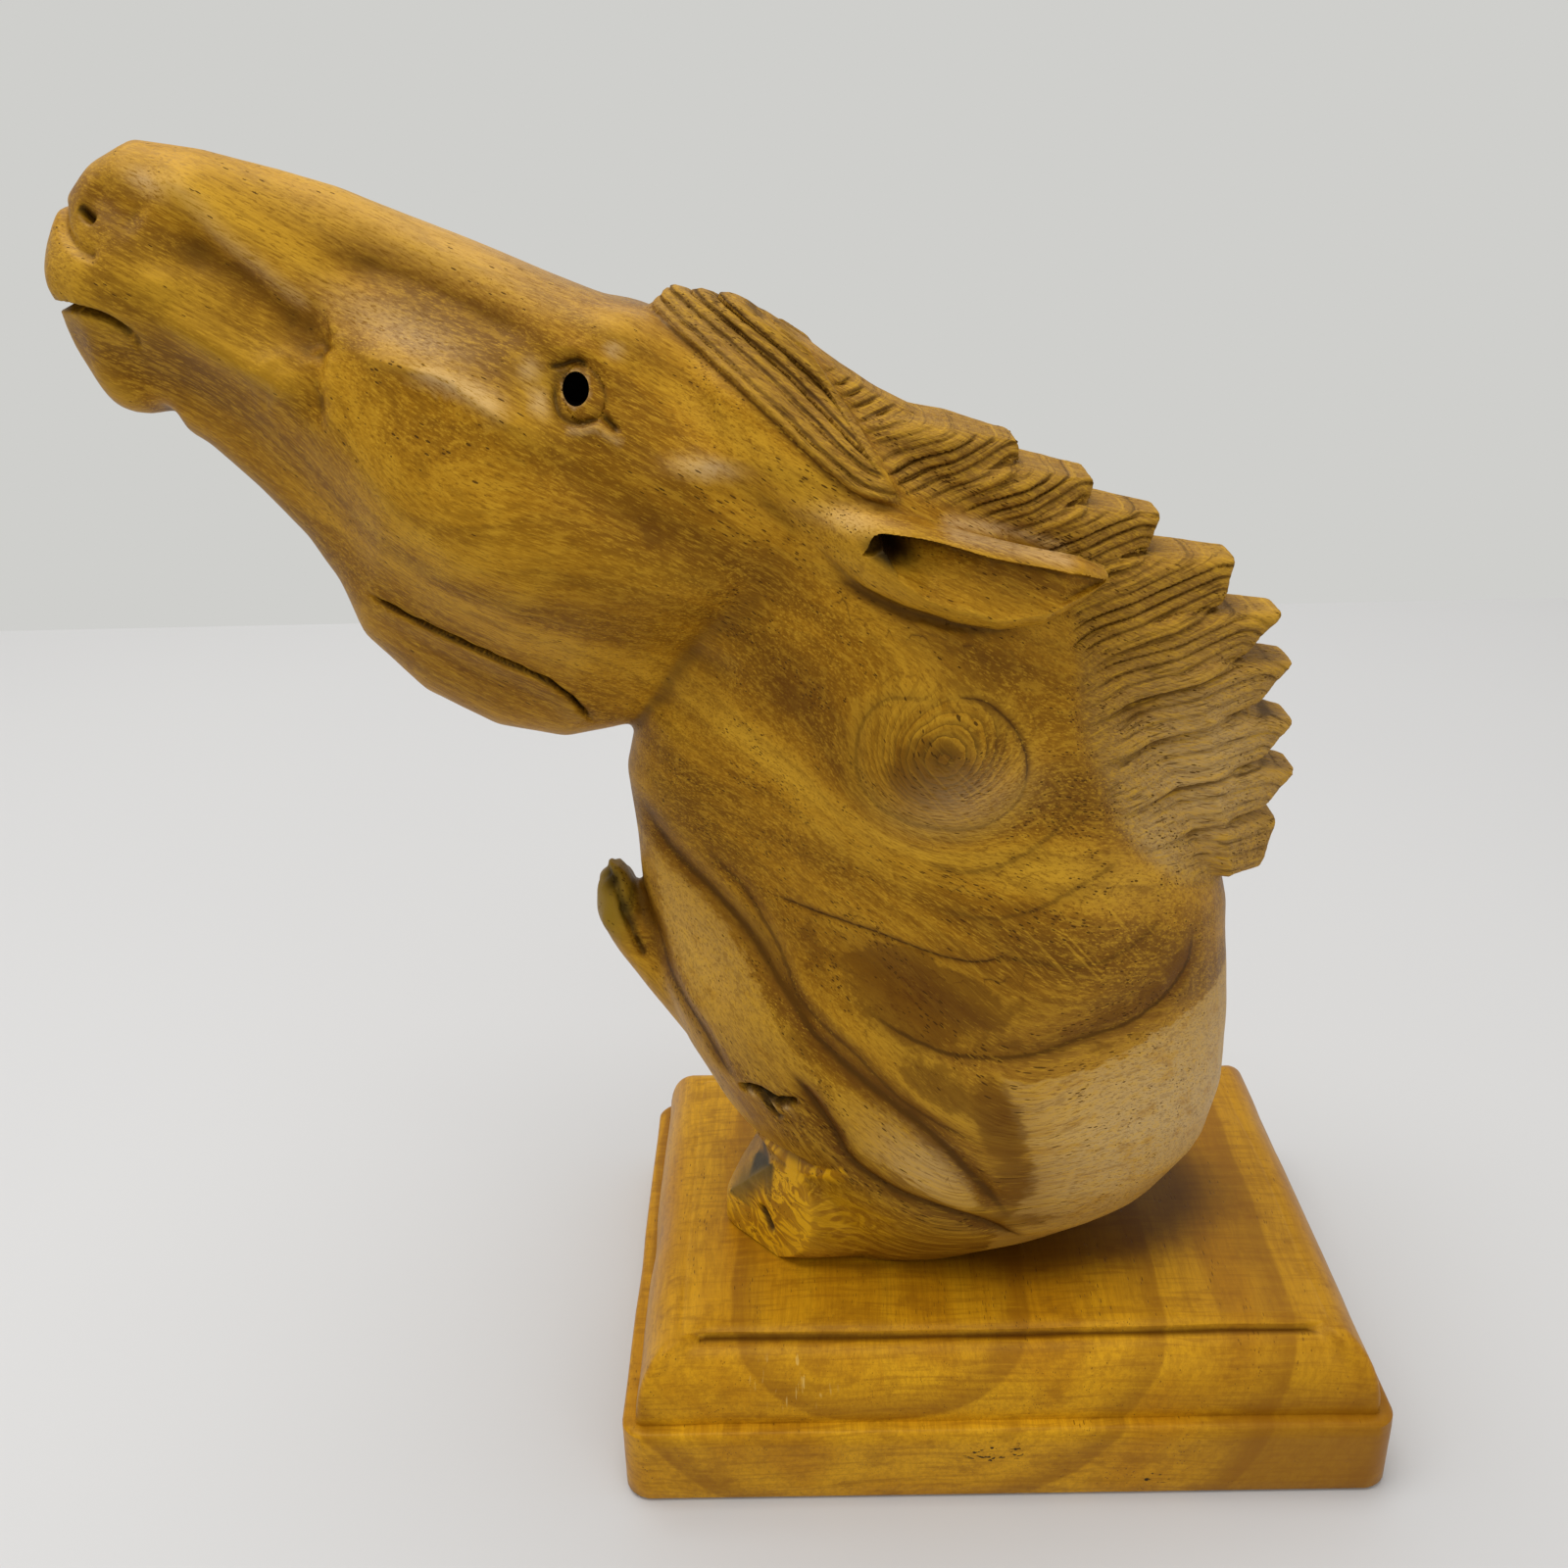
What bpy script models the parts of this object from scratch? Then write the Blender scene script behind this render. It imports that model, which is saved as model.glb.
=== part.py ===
"""Carved wooden horse head on a moulded wooden plinth.

The origin is the centre of the plinth's underside. Up is +Z, the plinth's length runs along X,
and the horse looks towards -X. Sizes are in metres.
"""
import math

import bmesh
import bpy
import numpy as np
from mathutils import Vector

# Driving sizes of the plinth
PLINTH_LENGTH = 0.130
PLINTH_DEPTH = 0.094
PLINTH_HEIGHT = 0.0275
FASCIA_HEIGHT = 0.0145
FASCIA_CORNER = 0.0045
FOOT_ROUNDING = 0.0006
LEDGE_WIDTH = 0.0024
OVOLO_WIDTH = 0.0070
OVOLO_CORNER = 0.0008
TOP_STEP = 0.0010
TOP_ROUNDING = 0.0003
OVOLO_STEPS = 9
CORNER_STEPS = 4

# Driving size of the carving, from its foot to the top of its nose, and its gap to the plinth
CARVING_HEIGHT = 0.1875
SEAT_GAP = 0.0003

# The carving is drawn on a grid of its own, in side view: x runs back from the plinth's centre,
# z runs up, and y is the half thickness. The foot stands on the line z = 28 and the drawing is
# 187.5 steps tall, so that every number below is a share of the carving's height.
DRAWN_FOOT = 28.0
DRAWN_HEIGHT = 187.5
STEP = CARVING_HEIGHT / DRAWN_HEIGHT

# How finely the carving is made, the voxels in steps of the drawing
RING_POINTS = 40
CLAY_VOXEL = 1.3
CARVING_VOXEL = 0.75
CARVING_FACES = 9200
SHARP_ANGLE = math.radians(35.0)

OAK_YELLOW = (0.46, 0.26, 0.055, 1.0)
TEAK_BROWN = (0.40, 0.22, 0.06, 1.0)


def clear_scene():
    for thing in list(bpy.data.objects):
        bpy.data.objects.remove(thing, do_unlink=True)


def new_object(name, bm, collection):
    """A mesh object from a bmesh, in the collection."""
    mesh = bpy.data.meshes.new(name)
    bm.to_mesh(mesh)
    bm.free()
    made = bpy.data.objects.new(name, mesh)
    collection.objects.link(made)
    return made


def wood(name, colour, roughness):
    """A plain wood material."""
    material = bpy.data.materials.new(name)
    material.use_nodes = True
    shader = material.node_tree.nodes["Principled BSDF"]
    shader.inputs["Base Color"].default_value = colour
    shader.inputs["Roughness"].default_value = roughness
    shader.inputs["Metallic"].default_value = 0.0
    return material


def apply_modifier(thing, kind, **settings):
    """Put one modifier on an object and keep its result as the mesh."""
    modifier = thing.modifiers.new(kind.title(), kind)
    for key, value in settings.items():
        setattr(modifier, key, value)
    graph = bpy.context.evaluated_depsgraph_get()
    result = bpy.data.meshes.new_from_object(thing.evaluated_get(graph))
    thing.modifiers.remove(modifier)
    old = thing.data
    thing.data = result
    bpy.data.meshes.remove(old)


# Lofts: rings of points, each drawn out of the one before


def loft(bm, rings):
    """A closed skin through rings that have the same number of points."""
    first = bmesh.ops.create_circle(bm, cap_ends=False, segments=len(rings[0]), radius=1.0)
    ring = first["verts"]
    for vert, place in zip(ring, rings[0]):
        vert.co = Vector(place)
    bmesh.ops.contextual_create(bm, geom=ring_edges(ring))
    for places in rings[1:]:
        drawn = bmesh.ops.extrude_edge_only(bm, edges=ring_edges(ring))
        new_verts = {v for v in drawn["geom"] if isinstance(v, bmesh.types.BMVert)}
        ring = [next(e.other_vert(v) for e in v.link_edges if e.other_vert(v) in new_verts) for v in ring]
        for vert, place in zip(ring, places):
            vert.co = Vector(place)
    bmesh.ops.contextual_create(bm, geom=ring_edges(ring))


def ring_edges(ring):
    """The edges that join a ring's points in turn."""
    members = set(ring)
    found = []
    for vert, following in zip(ring, ring[1:] + ring[:1]):
        for edge in vert.link_edges:
            if edge.other_vert(vert) is following and edge.other_vert(vert) in members:
                found.append(edge)
                break
    return found


def oval(top, bottom, widths, square=2.5, shift=0.0):
    """A ring round the line from bottom to top in side view.

    widths are the half thickness low, in the middle and high on that line. square makes the
    ends of the oval rounder (2) or squarer (4).
    """
    low, middle, high = widths
    points = []
    for k in range(RING_POINTS):
        turn = 2.0 * math.pi * k / RING_POINTS
        rise = 0.5 - 0.5 * math.cos(turn)
        envelope = max(0.0, 1.0 - abs(2.0 * rise - 1.0) ** square) ** (1.0 / square)
        bow = min(1.0, abs(rise - 0.5) / 0.35)
        width = middle + ((high if rise > 0.5 else low) - middle) * bow * bow * (3.0 - 2.0 * bow)
        side = 1.0 if math.sin(turn) >= 0.0 else -1.0
        points.append((bottom[0] + (top[0] - bottom[0]) * rise,
                       shift + side * width * envelope,
                       bottom[1] + (top[1] - bottom[1]) * rise))
    return points


def even(width):
    return (width, width, width)


# The masses of the carving: top point, bottom point and half thicknesses of each section

HEAD = [
    ((-139.6, 202.5), (-139.9, 192.0), (3.5, 5.0, 4.0)),
    ((-137.0, 206.8), (-138.0, 185.5), (7.0, 9.5, 7.5)),
    ((-131.8, 212.3), (-133.8, 178.4), (8.5, 12.3, 9.5)),
    ((-126.0, 215.2), (-128.5, 176.6), (8.5, 13.2, 9.5)),
    ((-117.0, 213.7), (-121.5, 172.0), (8.0, 13.0, 9.0)),
    ((-107.0, 211.0), (-114.5, 164.6), (8.0, 12.8, 9.0)),
    ((-97.0, 207.8), (-108.5, 157.2), (9.0, 14.5, 9.5)),
    ((-87.0, 203.8), (-104.6, 150.3), (10.5, 17.0, 11.5)),
    ((-77.0, 199.5), (-101.5, 141.2), (12.0, 19.5, 14.5)),
    ((-68.0, 195.5), (-93.0, 131.6), (12.5, 21.0, 17.5)),
    ((-60.0, 192.2), (-82.0, 125.2), (13.0, 21.5, 18.5)),
    ((-52.0, 190.0), (-71.0, 123.0), (13.0, 21.0, 18.0)),
    ((-44.0, 187.5), (-60.0, 125.0), (12.0, 20.0, 17.0)),
    ((-35.0, 183.0), (-48.0, 131.0), (11.0, 18.5, 16.0)),
    ((-24.0, 176.0), (-36.0, 138.0), (9.0, 15.0, 12.0)),
    ((-16.0, 168.0), (-26.0, 146.0), (6.0, 9.0, 7.0)),
]

TRUNK = [
    ((-40.0, 26.0), (3.0, 26.0), even(19.0)),
    ((-42.5, 33.0), (22.0, 34.0), even(25.0)),
    ((-42.5, 40.0), (34.0, 41.0), even(29.0)),
    ((-44.0, 48.0), (40.0, 49.0), even(31.0)),
    ((-49.0, 57.0), (42.0, 58.0), even(32.0)),
    ((-54.5, 68.0), (42.0, 69.0), even(31.5)),
    ((-58.5, 80.0), (41.0, 81.0), even(30.0)),
    ((-60.0, 93.0), (40.0, 92.0), (27.0, 28.5, 24.0)),
    ((-60.5, 105.0), (37.5, 102.0), (25.0, 28.0, 22.0)),
    ((-61.5, 117.0), (33.0, 113.0), (23.0, 27.0, 20.0)),
    ((-59.0, 128.0), (28.0, 124.0), (22.0, 25.5, 19.0)),
    ((-55.0, 140.0), (22.0, 135.0), (21.0, 24.0, 18.0)),
    ((-50.0, 152.0), (14.0, 147.0), (19.0, 22.0, 17.0)),
    ((-46.0, 164.0), (4.0, 158.0), (17.0, 19.5, 15.0)),
    ((-44.0, 175.0), (-9.0, 168.0), (14.0, 16.5, 13.0)),
    ((-44.0, 183.0), (-22.0, 177.0), (8.0, 10.0, 9.0)),
]

KNOB = [
    ((-44.0, 50.0), (-30.0, 60.0), even(8.0)),
    ((-53.0, 63.5), (-41.0, 70.0), even(9.0)),
    ((-59.5, 74.5), (-49.0, 79.0), even(9.5)),
    ((-65.3, 83.3), (-55.0, 86.0), even(8.5)),
    ((-68.2, 89.5), (-60.3, 91.0), even(7.0)),
    ((-67.9, 95.0), (-61.8, 94.8), even(5.5)),
    ((-65.9, 99.2), (-63.2, 98.0), even(2.5)),
]

TOE = [
    ((-47.8, 32.5), (-48.0, 28.5), 2.5, -7.0),
    ((-45.0, 36.0), (-45.0, 27.0), 8.0, -8.0),
    ((-40.0, 40.0), (-40.0, 26.0), 13.5, -8.0),
    ((-33.0, 46.0), (-33.0, 26.0), 17.0, -6.5),
    ((-24.0, 52.0), (-24.0, 26.0), 18.0, -5.5),
    ((-12.0, 52.0), (-12.0, 27.0), 17.0, -5.5),
    ((0.0, 48.0), (0.0, 31.0), 12.0, -5.0),
]

FORELOCK = [
    ((-53.0, 191.3), (-52.0, 187.0), (1.5, 1.5, 1.5)),
    ((-50.5, 193.6), (-48.5, 178.0), (9.5, 7.0, 3.5)),
    ((-45.5, 193.0), (-42.0, 165.0), (17.0, 14.5, 7.0)),
    ((-40.0, 191.8), (-35.0, 160.0), (18.5, 16.5, 8.5)),
    ((-34.0, 188.0), (-28.0, 155.0), (19.5, 17.5, 9.0)),
    ((-27.0, 182.7), (-21.0, 150.0), (20.0, 18.0, 9.5)),
    ((-20.0, 177.7), (-14.0, 146.0), (20.0, 18.0, 10.0)),
    ((-12.0, 173.8), (-8.0, 142.0), (19.5, 17.5, 9.5)),
    ((-5.0, 170.0), (0.0, 140.0), (18.0, 15.5, 8.0)),
]

# Locks of the mane, from the top one down: the root's edges, the middle's and the tip's
LOCKS = [
    ((-26.0, 177.0), (-24.0, 160.0), (-9.0, 173.3), (-8.0, 163.5), (0.6, 170.6), (0.2, 166.7)),
    ((-20.0, 168.5), (-14.0, 153.0), (2.0, 167.0), (3.0, 157.5), (12.0, 164.9), (12.6, 160.5)),
    ((-12.0, 161.0), (-4.0, 144.5), (10.0, 161.3), (12.0, 150.5), (23.2, 159.0), (21.8, 152.3)),
    ((-5.0, 152.0), (2.0, 132.5), (18.0, 153.2), (20.0, 140.0), (35.6, 151.4), (33.5, 144.0)),
    ((1.0, 141.0), (6.0, 127.5), (25.0, 144.0), (27.0, 132.5), (43.9, 142.3), (39.7, 135.6)),
    ((5.0, 133.0), (9.0, 121.0), (30.0, 136.0), (31.0, 125.5), (46.3, 134.4), (43.9, 127.2)),
    ((9.0, 126.0), (11.0, 112.5), (32.0, 127.8), (33.0, 116.5), (47.5, 124.2), (44.9, 117.0)),
    ((13.0, 118.0), (15.0, 106.5), (34.0, 118.3), (35.0, 108.5), (48.8, 115.6), (45.7, 108.2)),
    ((18.0, 111.5), (22.0, 100.0), (36.0, 110.0), (38.0, 98.0), (46.6, 106.4), (44.0, 97.4)),
]
LOCK_WIDTHS = (11.0, 11.6, 4.6)
CREST_WIDTHS = (15.0, 10.0, 3.4)
LOCK_ROUNDING = 1.5

EAR = [
    ((-33.0, 165.0), (-32.0, 158.0), 2.0, -17.5),
    ((-26.0, 165.6), (-26.5, 153.5), 5.0, -18.8),
    ((-20.5, 165.2), (-21.0, 150.8), 6.8, -19.8),
    ((-12.0, 162.8), (-13.0, 148.0), 7.4, -20.0),
    ((-4.0, 160.6), (-5.0, 145.8), 7.2, -19.4),
    ((3.0, 158.4), (2.5, 145.6), 6.2, -18.0),
    ((9.0, 156.6), (9.0, 148.8), 4.6, -16.3),
    ((13.6, 153.8), (13.6, 152.0), 2.0, -15.0),
]


def lock_sections(root_top, root_bottom, middle_top, middle_bottom, tip_top, tip_bottom):
    """One lock: a wedge that thins from the neck to a blunt, slanted tip."""
    root, middle, tip = LOCK_WIDTHS
    end_top = tuple(t + (b - t) * 0.15 for t, b in zip(tip_top, tip_bottom))
    end_bottom = tuple(b + (t - b) * 0.35 for t, b in zip(tip_top, tip_bottom))
    end_top = (end_top[0] + LOCK_ROUNDING, end_top[1])
    end_bottom = (end_bottom[0] + LOCK_ROUNDING, end_bottom[1])
    return [oval(root_top, root_bottom, even(root), 3.0),
            oval(middle_top, middle_bottom, even(middle), 3.0),
            oval(tip_top, tip_bottom, even(tip), 3.0),
            oval(end_top, end_bottom, even(tip * 0.6), 3.0)]


def crest_sections():
    """The slab that all the locks are cut from, one section for each lock's lower edge."""
    return [oval(tip_bottom, root_bottom, CREST_WIDTHS, 3.0) for _, root_bottom, _, _, _, tip_bottom in LOCKS]


def block_out(collection):
    """The big masses, roughly joined: head, trunk, forelock, crest, root stub and foot."""
    bm = bmesh.new()
    loft(bm, [oval(*section) for section in HEAD])
    loft(bm, [oval(*section, square=2.2) for section in TRUNK])
    loft(bm, [oval(*section, square=3.0) for section in FORELOCK])
    loft(bm, crest_sections())
    loft(bm, [oval(*section, square=2.2) for section in KNOB])
    loft(bm, [oval(top, bottom, even(width), 3.0, shift) for top, bottom, width, shift in TOE])
    bmesh.ops.recalc_face_normals(bm, faces=bm.faces)
    clay = new_object("horse_head", bm, collection)
    apply_modifier(clay, "REMESH", mode="VOXEL", voxel_size=CLAY_VOXEL)
    return clay


def add_locks_and_ears(clay):
    """Set the locks of the mane and both ears into the masses."""
    bm = bmesh.new()
    bm.from_mesh(clay.data)
    for lock in LOCKS:
        loft(bm, lock_sections(*lock))
    for side in (1.0, -1.0):
        loft(bm, [oval(top, bottom, even(width), 2.4, side * shift) for top, bottom, width, shift in EAR])
    bmesh.ops.recalc_face_normals(bm, faces=bm.faces)
    bm.to_mesh(clay.data)
    bm.free()
    apply_modifier(clay, "REMESH", mode="VOXEL", voxel_size=CARVING_VOXEL)


# Carving: strokes that move the skin

BOTH = 0
NEAR = -1


class Skin:
    """The carving's skin as arrays, while strokes move it."""

    def __init__(self, thing):
        self.mesh = thing.data
        count = len(self.mesh.vertices)
        places = np.empty(count * 3)
        self.mesh.vertices.foreach_get("co", places)
        self.places = places.reshape(-1, 3)
        edges = np.empty(len(self.mesh.edges) * 2, dtype=np.int64)
        self.mesh.edges.foreach_get("vertices", edges)
        self.ends = edges.reshape(-1, 2).T
        self.settle()

    def settle(self):
        """Write the places to the mesh and take its new normals."""
        self.mesh.vertices.foreach_set("co", self.places.ravel())
        self.mesh.update()
        normals = np.empty(self.places.size)
        self.mesh.vertex_normals.foreach_get("vector", normals)
        self.normals = normals.reshape(-1, 3)

    def relax(self, times):
        """Smooth the skin without shrinking it."""
        a, b = self.ends
        count = len(self.places)
        links = np.bincount(a, minlength=count) + np.bincount(b, minlength=count)
        for pull in (0.5, -0.52) * times:
            mean = np.empty_like(self.places)
            for axis in range(3):
                along = self.places[:, axis]
                mean[:, axis] = np.bincount(a, along[b], count) + np.bincount(b, along[a], count)
            mean /= links[:, None]
            self.places = self.places + pull * (mean - self.places)
        self.settle()

    def push(self, amount, side=BOTH, straight=False):
        """Move the skin out by amount along its normals, or straight out from the middle plane."""
        if side != BOTH:
            amount = amount * (self.places[:, 1] * side > 0.0)
        if straight:
            self.places[:, 1] += np.sign(self.places[:, 1]) * amount
        else:
            self.places = self.places + self.normals * amount[:, None]

    def sideways(self):
        """How far the skin faces a side, from 0 to 1."""
        return smooth_step(0.15, 0.5, np.abs(self.normals[:, 1]))


def smooth_step(low, high, value):
    share = np.clip((value - low) / (high - low), 0.0, 1.0)
    return share * share * (3.0 - 2.0 * share)


def smooth_curve(points, per_span=6):
    """Points along a soft curve through the given ones."""
    fixed = np.array([points[0], *points, points[-1]], dtype=float)
    curve = []
    for a, b, c, d in zip(fixed, fixed[1:], fixed[2:], fixed[3:]):
        for t in np.linspace(0.0, 1.0, per_span, endpoint=False):
            curve.append(0.5 * (2 * b + (c - a) * t + (2 * a - 5 * b + 4 * c - d) * t * t
                                + (3 * b - 3 * c + d - a) * t ** 3))
    curve.append(fixed[-1])
    return np.array(curve)


def along_path(places, path):
    """Side view distance from a curve, positive on the left of its travel, and the share along it."""
    curve = smooth_curve(path)
    flat = places[:, (0, 2)]
    lengths = np.linalg.norm(np.diff(curve, axis=0), axis=1)
    starts = np.concatenate(([0.0], np.cumsum(lengths)))
    nearest = np.full(len(flat), np.inf)
    sign = np.ones(len(flat))
    share = np.zeros(len(flat))
    for a, b, start, length in zip(curve, curve[1:], starts, lengths):
        run = (b - a) / length
        offset = flat - a
        travel = np.clip(offset @ run, 0.0, length)
        distance = np.linalg.norm(offset - travel[:, None] * run, axis=1)
        better = distance < nearest
        nearest[better] = distance[better]
        sign[better] = np.sign(run[0] * offset[better, 1] - run[1] * offset[better, 0])
        share[better] = (start + travel[better]) / starts[-1]
    return nearest * np.where(sign < 0.0, -1.0, 1.0), share


def fade(share, ends):
    """1 along a stroke, falling to 0 over the last part at each end."""
    return smooth_step(0.0, ends, share) * smooth_step(0.0, ends, 1.0 - share)


def ridge(skin, path, width, height, side=BOTH, ends=0.25):
    """A soft ridge along a path, or a groove where the height is negative."""
    distance, share = along_path(skin.places, path)
    amount = height * np.exp(-(distance / width) ** 2) * fade(share, ends)
    skin.push(amount * skin.sideways(), side)


def shelf(skin, path, width, height, ends=0.15, soft=0.6):
    """A step: the skin left of the path rises by height and runs out over the width."""
    distance, share = along_path(skin.places, path)
    amount = height * smooth_step(-soft, soft, distance) * (1.0 - smooth_step(0.0, width, distance))
    skin.push(amount * fade(share, ends) * skin.sideways())


def swell(skin, centre, radii, height, lean=0.0, side=BOTH, everywhere=False):
    """A soft oval rise round a point in side view, or a hollow where the height is negative."""
    turn = math.radians(lean)
    dx = skin.places[:, 0] - centre[0]
    dz = skin.places[:, 2] - centre[1]
    along = (dx * math.cos(turn) + dz * math.sin(turn)) / radii[0]
    across = (dz * math.cos(turn) - dx * math.sin(turn)) / radii[1]
    amount = height * np.exp(-(along ** 2 + across ** 2))
    skin.push(amount if everywhere else amount * skin.sideways(), side)


CREST_OF_CHEEK = [(-100.0, 191.4), (-94.0, 189.4), (-86.0, 185.5), (-78.5, 182.0), (-71.5, 178.5)]
NOSE_SIDE = [(-123.0, 208.5), (-115.5, 205.3), (-108.0, 200.2), (-100.0, 194.6)]
NOSE_CHANNEL = [(-101.0, 199.5), (-90.0, 196.0), (-80.0, 192.2), (-72.0, 189.4), (-66.0, 187.6)]
MOUTH_RIDGE = [(-101.0, 178.0), (-109.0, 183.0), (-117.5, 187.6), (-127.0, 190.0)]
CHEEK_EDGE = [(-98.6, 193.0), (-100.1, 185.0), (-100.6, 176.0)]
TEMPLE_RIDGE = [(-60.0, 176.5), (-52.0, 173.0), (-44.0, 170.6), (-33.0, 167.0)]
CHEEK_VALLEY = [(-71.0, 176.5), (-62.0, 168.5), (-53.0, 162.5), (-41.0, 155.5), (-30.0, 151.0)]
JAW_CREASE = [(-42.0, 153.0), (-45.8, 146.3), (-48.7, 138.6), (-53.0, 133.0), (-60.0, 128.5)]
MOUTH = [(-142.0, 192.6), (-137.0, 193.1), (-131.0, 192.6), (-126.6, 190.2)]
FORELOCK_EDGE = [(-54.0, 190.3), (-49.4, 188.1), (-44.3, 184.1), (-39.5, 179.9), (-33.0, 174.2),
                 (-26.5, 168.8), (-19.0, 164.5)]
BARK_BAND = [(-59.0, 115.6), (-55.6, 108.0), (-47.0, 103.0), (-42.0, 97.6), (-35.6, 87.4), (-28.5, 78.2),
             (-16.3, 68.5), (-7.4, 59.9), (-0.8, 48.7), (5.0, 38.0)]
ROOT_BAND = [(-55.6, 88.1), (-48.7, 75.7), (-44.9, 66.5), (-32.0, 64.8), (-27.6, 60.2), (-21.4, 52.2),
             (-14.2, 46.0), (-3.2, 40.0)]
KNOT_APRON = [(-30.0, 103.0), (-23.3, 94.5), (-11.2, 83.5), (-0.8, 78.5), (13.9, 80.0), (28.0, 83.0)]
KNOT = (-11.5, 127.0)
EYE = (-63.2, 181.3)
EAR_HOLLOW = [(-22.0, 159.6), (-12.0, 156.2), (0.0, 153.0), (11.5, 152.4)]
JAW_CRACK = [(-91.0, 150.0), (-83.9, 145.5), (-76.4, 141.2), (-70.1, 137.8), (-66.7, 134.0), (-64.8, 129.0)]
STRAND_PITCH = 4.2
STRAND_DEPTH = 0.7
FORELOCK_WIDTH = 17.0
MOUTH_HALF_OPENING = 0.95
INNER_EAR = 15.0
PUPIL_RADII = (1.7, 2.05)
PUPIL_FLOOR = 13.0
PUPIL_SIDES = 16


def carve_head(skin):
    """The planes and hollows of the face, alike on both sides."""
    swell(skin, centre=(-113.0, 191.5), radii=(10.0, 4.6), height=-2.4, lean=-27.0)
    shelf(skin, CHEEK_EDGE, width=9.0, height=1.4, ends=0.3, soft=1.2)
    ridge(skin, NOSE_SIDE, width=3.0, height=0.9)
    ridge(skin, MOUTH_RIDGE, width=2.4, height=0.9)
    ridge(skin, CREST_OF_CHEEK, width=3.0, height=1.3)
    ridge(skin, NOSE_CHANNEL, width=3.4, height=-1.8)
    swell(skin, centre=(-75.0, 156.5), radii=(19.0, 17.0), height=1.4)
    ridge(skin, CHEEK_VALLEY, width=3.8, height=-1.3)
    ridge(skin, TEMPLE_RIDGE, width=3.6, height=1.2)
    swell(skin, centre=(-50.0, 181.5), radii=(6.5, 4.0), height=-1.4, lean=-35.0)
    skin.settle()
    swell(skin, centre=(-65.0, 183.2), radii=(6.0, 4.6), height=-2.2, lean=-15.0)
    swell(skin, centre=(-57.5, 188.3), radii=(6.0, 3.0), height=1.6, lean=-20.0)
    swell(skin, centre=(-137.0, 198.5), radii=(4.0, 5.0), height=0.8)
    swell(skin, centre=(-124.0, 204.5), radii=(6.0, 2.8), height=-1.0, lean=-25.0)
    swell(skin, centre=(-133.0, 183.0), radii=(4.0, 4.5), height=0.8)
    shelf(skin, JAW_CREASE, width=9.0, height=-3.0, soft=1.2)
    skin.settle()


def carve_trunk(skin):
    """The folds of the root wood: bark bands, the knot and its apron."""
    ridge(skin, BARK_BAND, width=2.6, height=-1.7, side=NEAR, ends=0.1)
    ridge(skin, ROOT_BAND, width=2.2, height=-1.3, side=NEAR, ends=0.15)
    ridge(skin, KNOT_APRON, width=4.0, height=-1.5, side=NEAR)
    swell(skin, centre=KNOT, radii=(12.0, 11.0), height=1.3, side=NEAR)
    skin.settle()


def part_lips(skin):
    """Sink the slit of the mouth, deepest at the front."""
    distance, share = along_path(skin.places, MOUTH)
    depth = np.interp(share, (0.0, 0.3, 0.85, 1.0), (4.2, 4.0, 2.4, 0.0))
    skin.push(-depth * np.exp(-(distance / MOUTH_HALF_OPENING) ** 2))


def comb_forelock(skin):
    """Long strands beside the forelock's raised edge."""
    distance, share = along_path(skin.places, FORELOCK_EDGE)
    valley = 0.5 + 0.5 * np.cos(2.0 * math.pi * distance / STRAND_PITCH)
    inside = smooth_step(0.0, 1.0, distance) * smooth_step(0.0, 2.0, FORELOCK_WIDTH - distance)
    skin.push(-STRAND_DEPTH * valley * inside * fade(share, 0.1))


def hollow_ears(skin):
    """Scoop both ears out, deepest near the root."""
    distance, share = along_path(skin.places, EAR_HOLLOW)
    half = np.interp(share, (0.0, 0.1, 0.35, 0.7, 1.0), (1.8, 3.0, 4.4, 3.6, 0.8))
    depth = np.interp(share, (0.0, 0.12, 0.4, 0.8, 1.0), (4.5, 7.0, 5.0, 3.0, 0.0))
    bowl = np.clip(1.0 - (distance / half) ** 2, 0.0, 1.0) ** 0.7
    outer = np.abs(skin.places[:, 1]) > INNER_EAR
    skin.push(-depth * bowl * outer, straight=True)


def carve_details(skin):
    """Mouth, nostrils, jaw crack, forelock, eyes and ears."""
    part_lips(skin)
    swell(skin, centre=(-130.0, 206.0), radii=(2.2, 1.0), height=-1.6, lean=-35.0)
    swell(skin, centre=(-127.2, 176.3), radii=(1.8, 2.4), height=-1.1, everywhere=True)
    ridge(skin, JAW_CRACK, width=0.9, height=-1.8, side=NEAR, ends=0.2)
    shelf(skin, FORELOCK_EDGE, width=9.0, height=1.4, ends=0.08)
    skin.settle()
    comb_forelock(skin)
    skin.settle()
    swell(skin, centre=EYE, radii=(3.0, 3.3), height=1.9)
    hollow_ears(skin)
    skin.settle()


def drill_pupils(thing, cutters):
    """Drill the two round pupils, a blind hole in each eyeball."""
    bm = bmesh.new()
    for side in (1.0, -1.0):
        drill = bmesh.ops.create_cone(bm, cap_ends=True, segments=PUPIL_SIDES, radius1=1.0, radius2=1.0, depth=1.0)
        for vert in drill["verts"]:
            x, y, z = vert.co
            vert.co = (EYE[0] + x * PUPIL_RADII[0], side * (PUPIL_FLOOR + (z + 0.5) * PUPIL_FLOOR),
                       EYE[1] + y * PUPIL_RADII[1])
    bmesh.ops.recalc_face_normals(bm, faces=bm.faces)
    cutter = new_object("pupil_drill", bm, cutters)
    cutter.hide_render = True
    cutter.display_type = "WIRE"
    apply_modifier(thing, "BOOLEAN", operation="DIFFERENCE", solver="EXACT", object=cutter)
    bpy.data.objects.remove(cutter, do_unlink=True)


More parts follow.
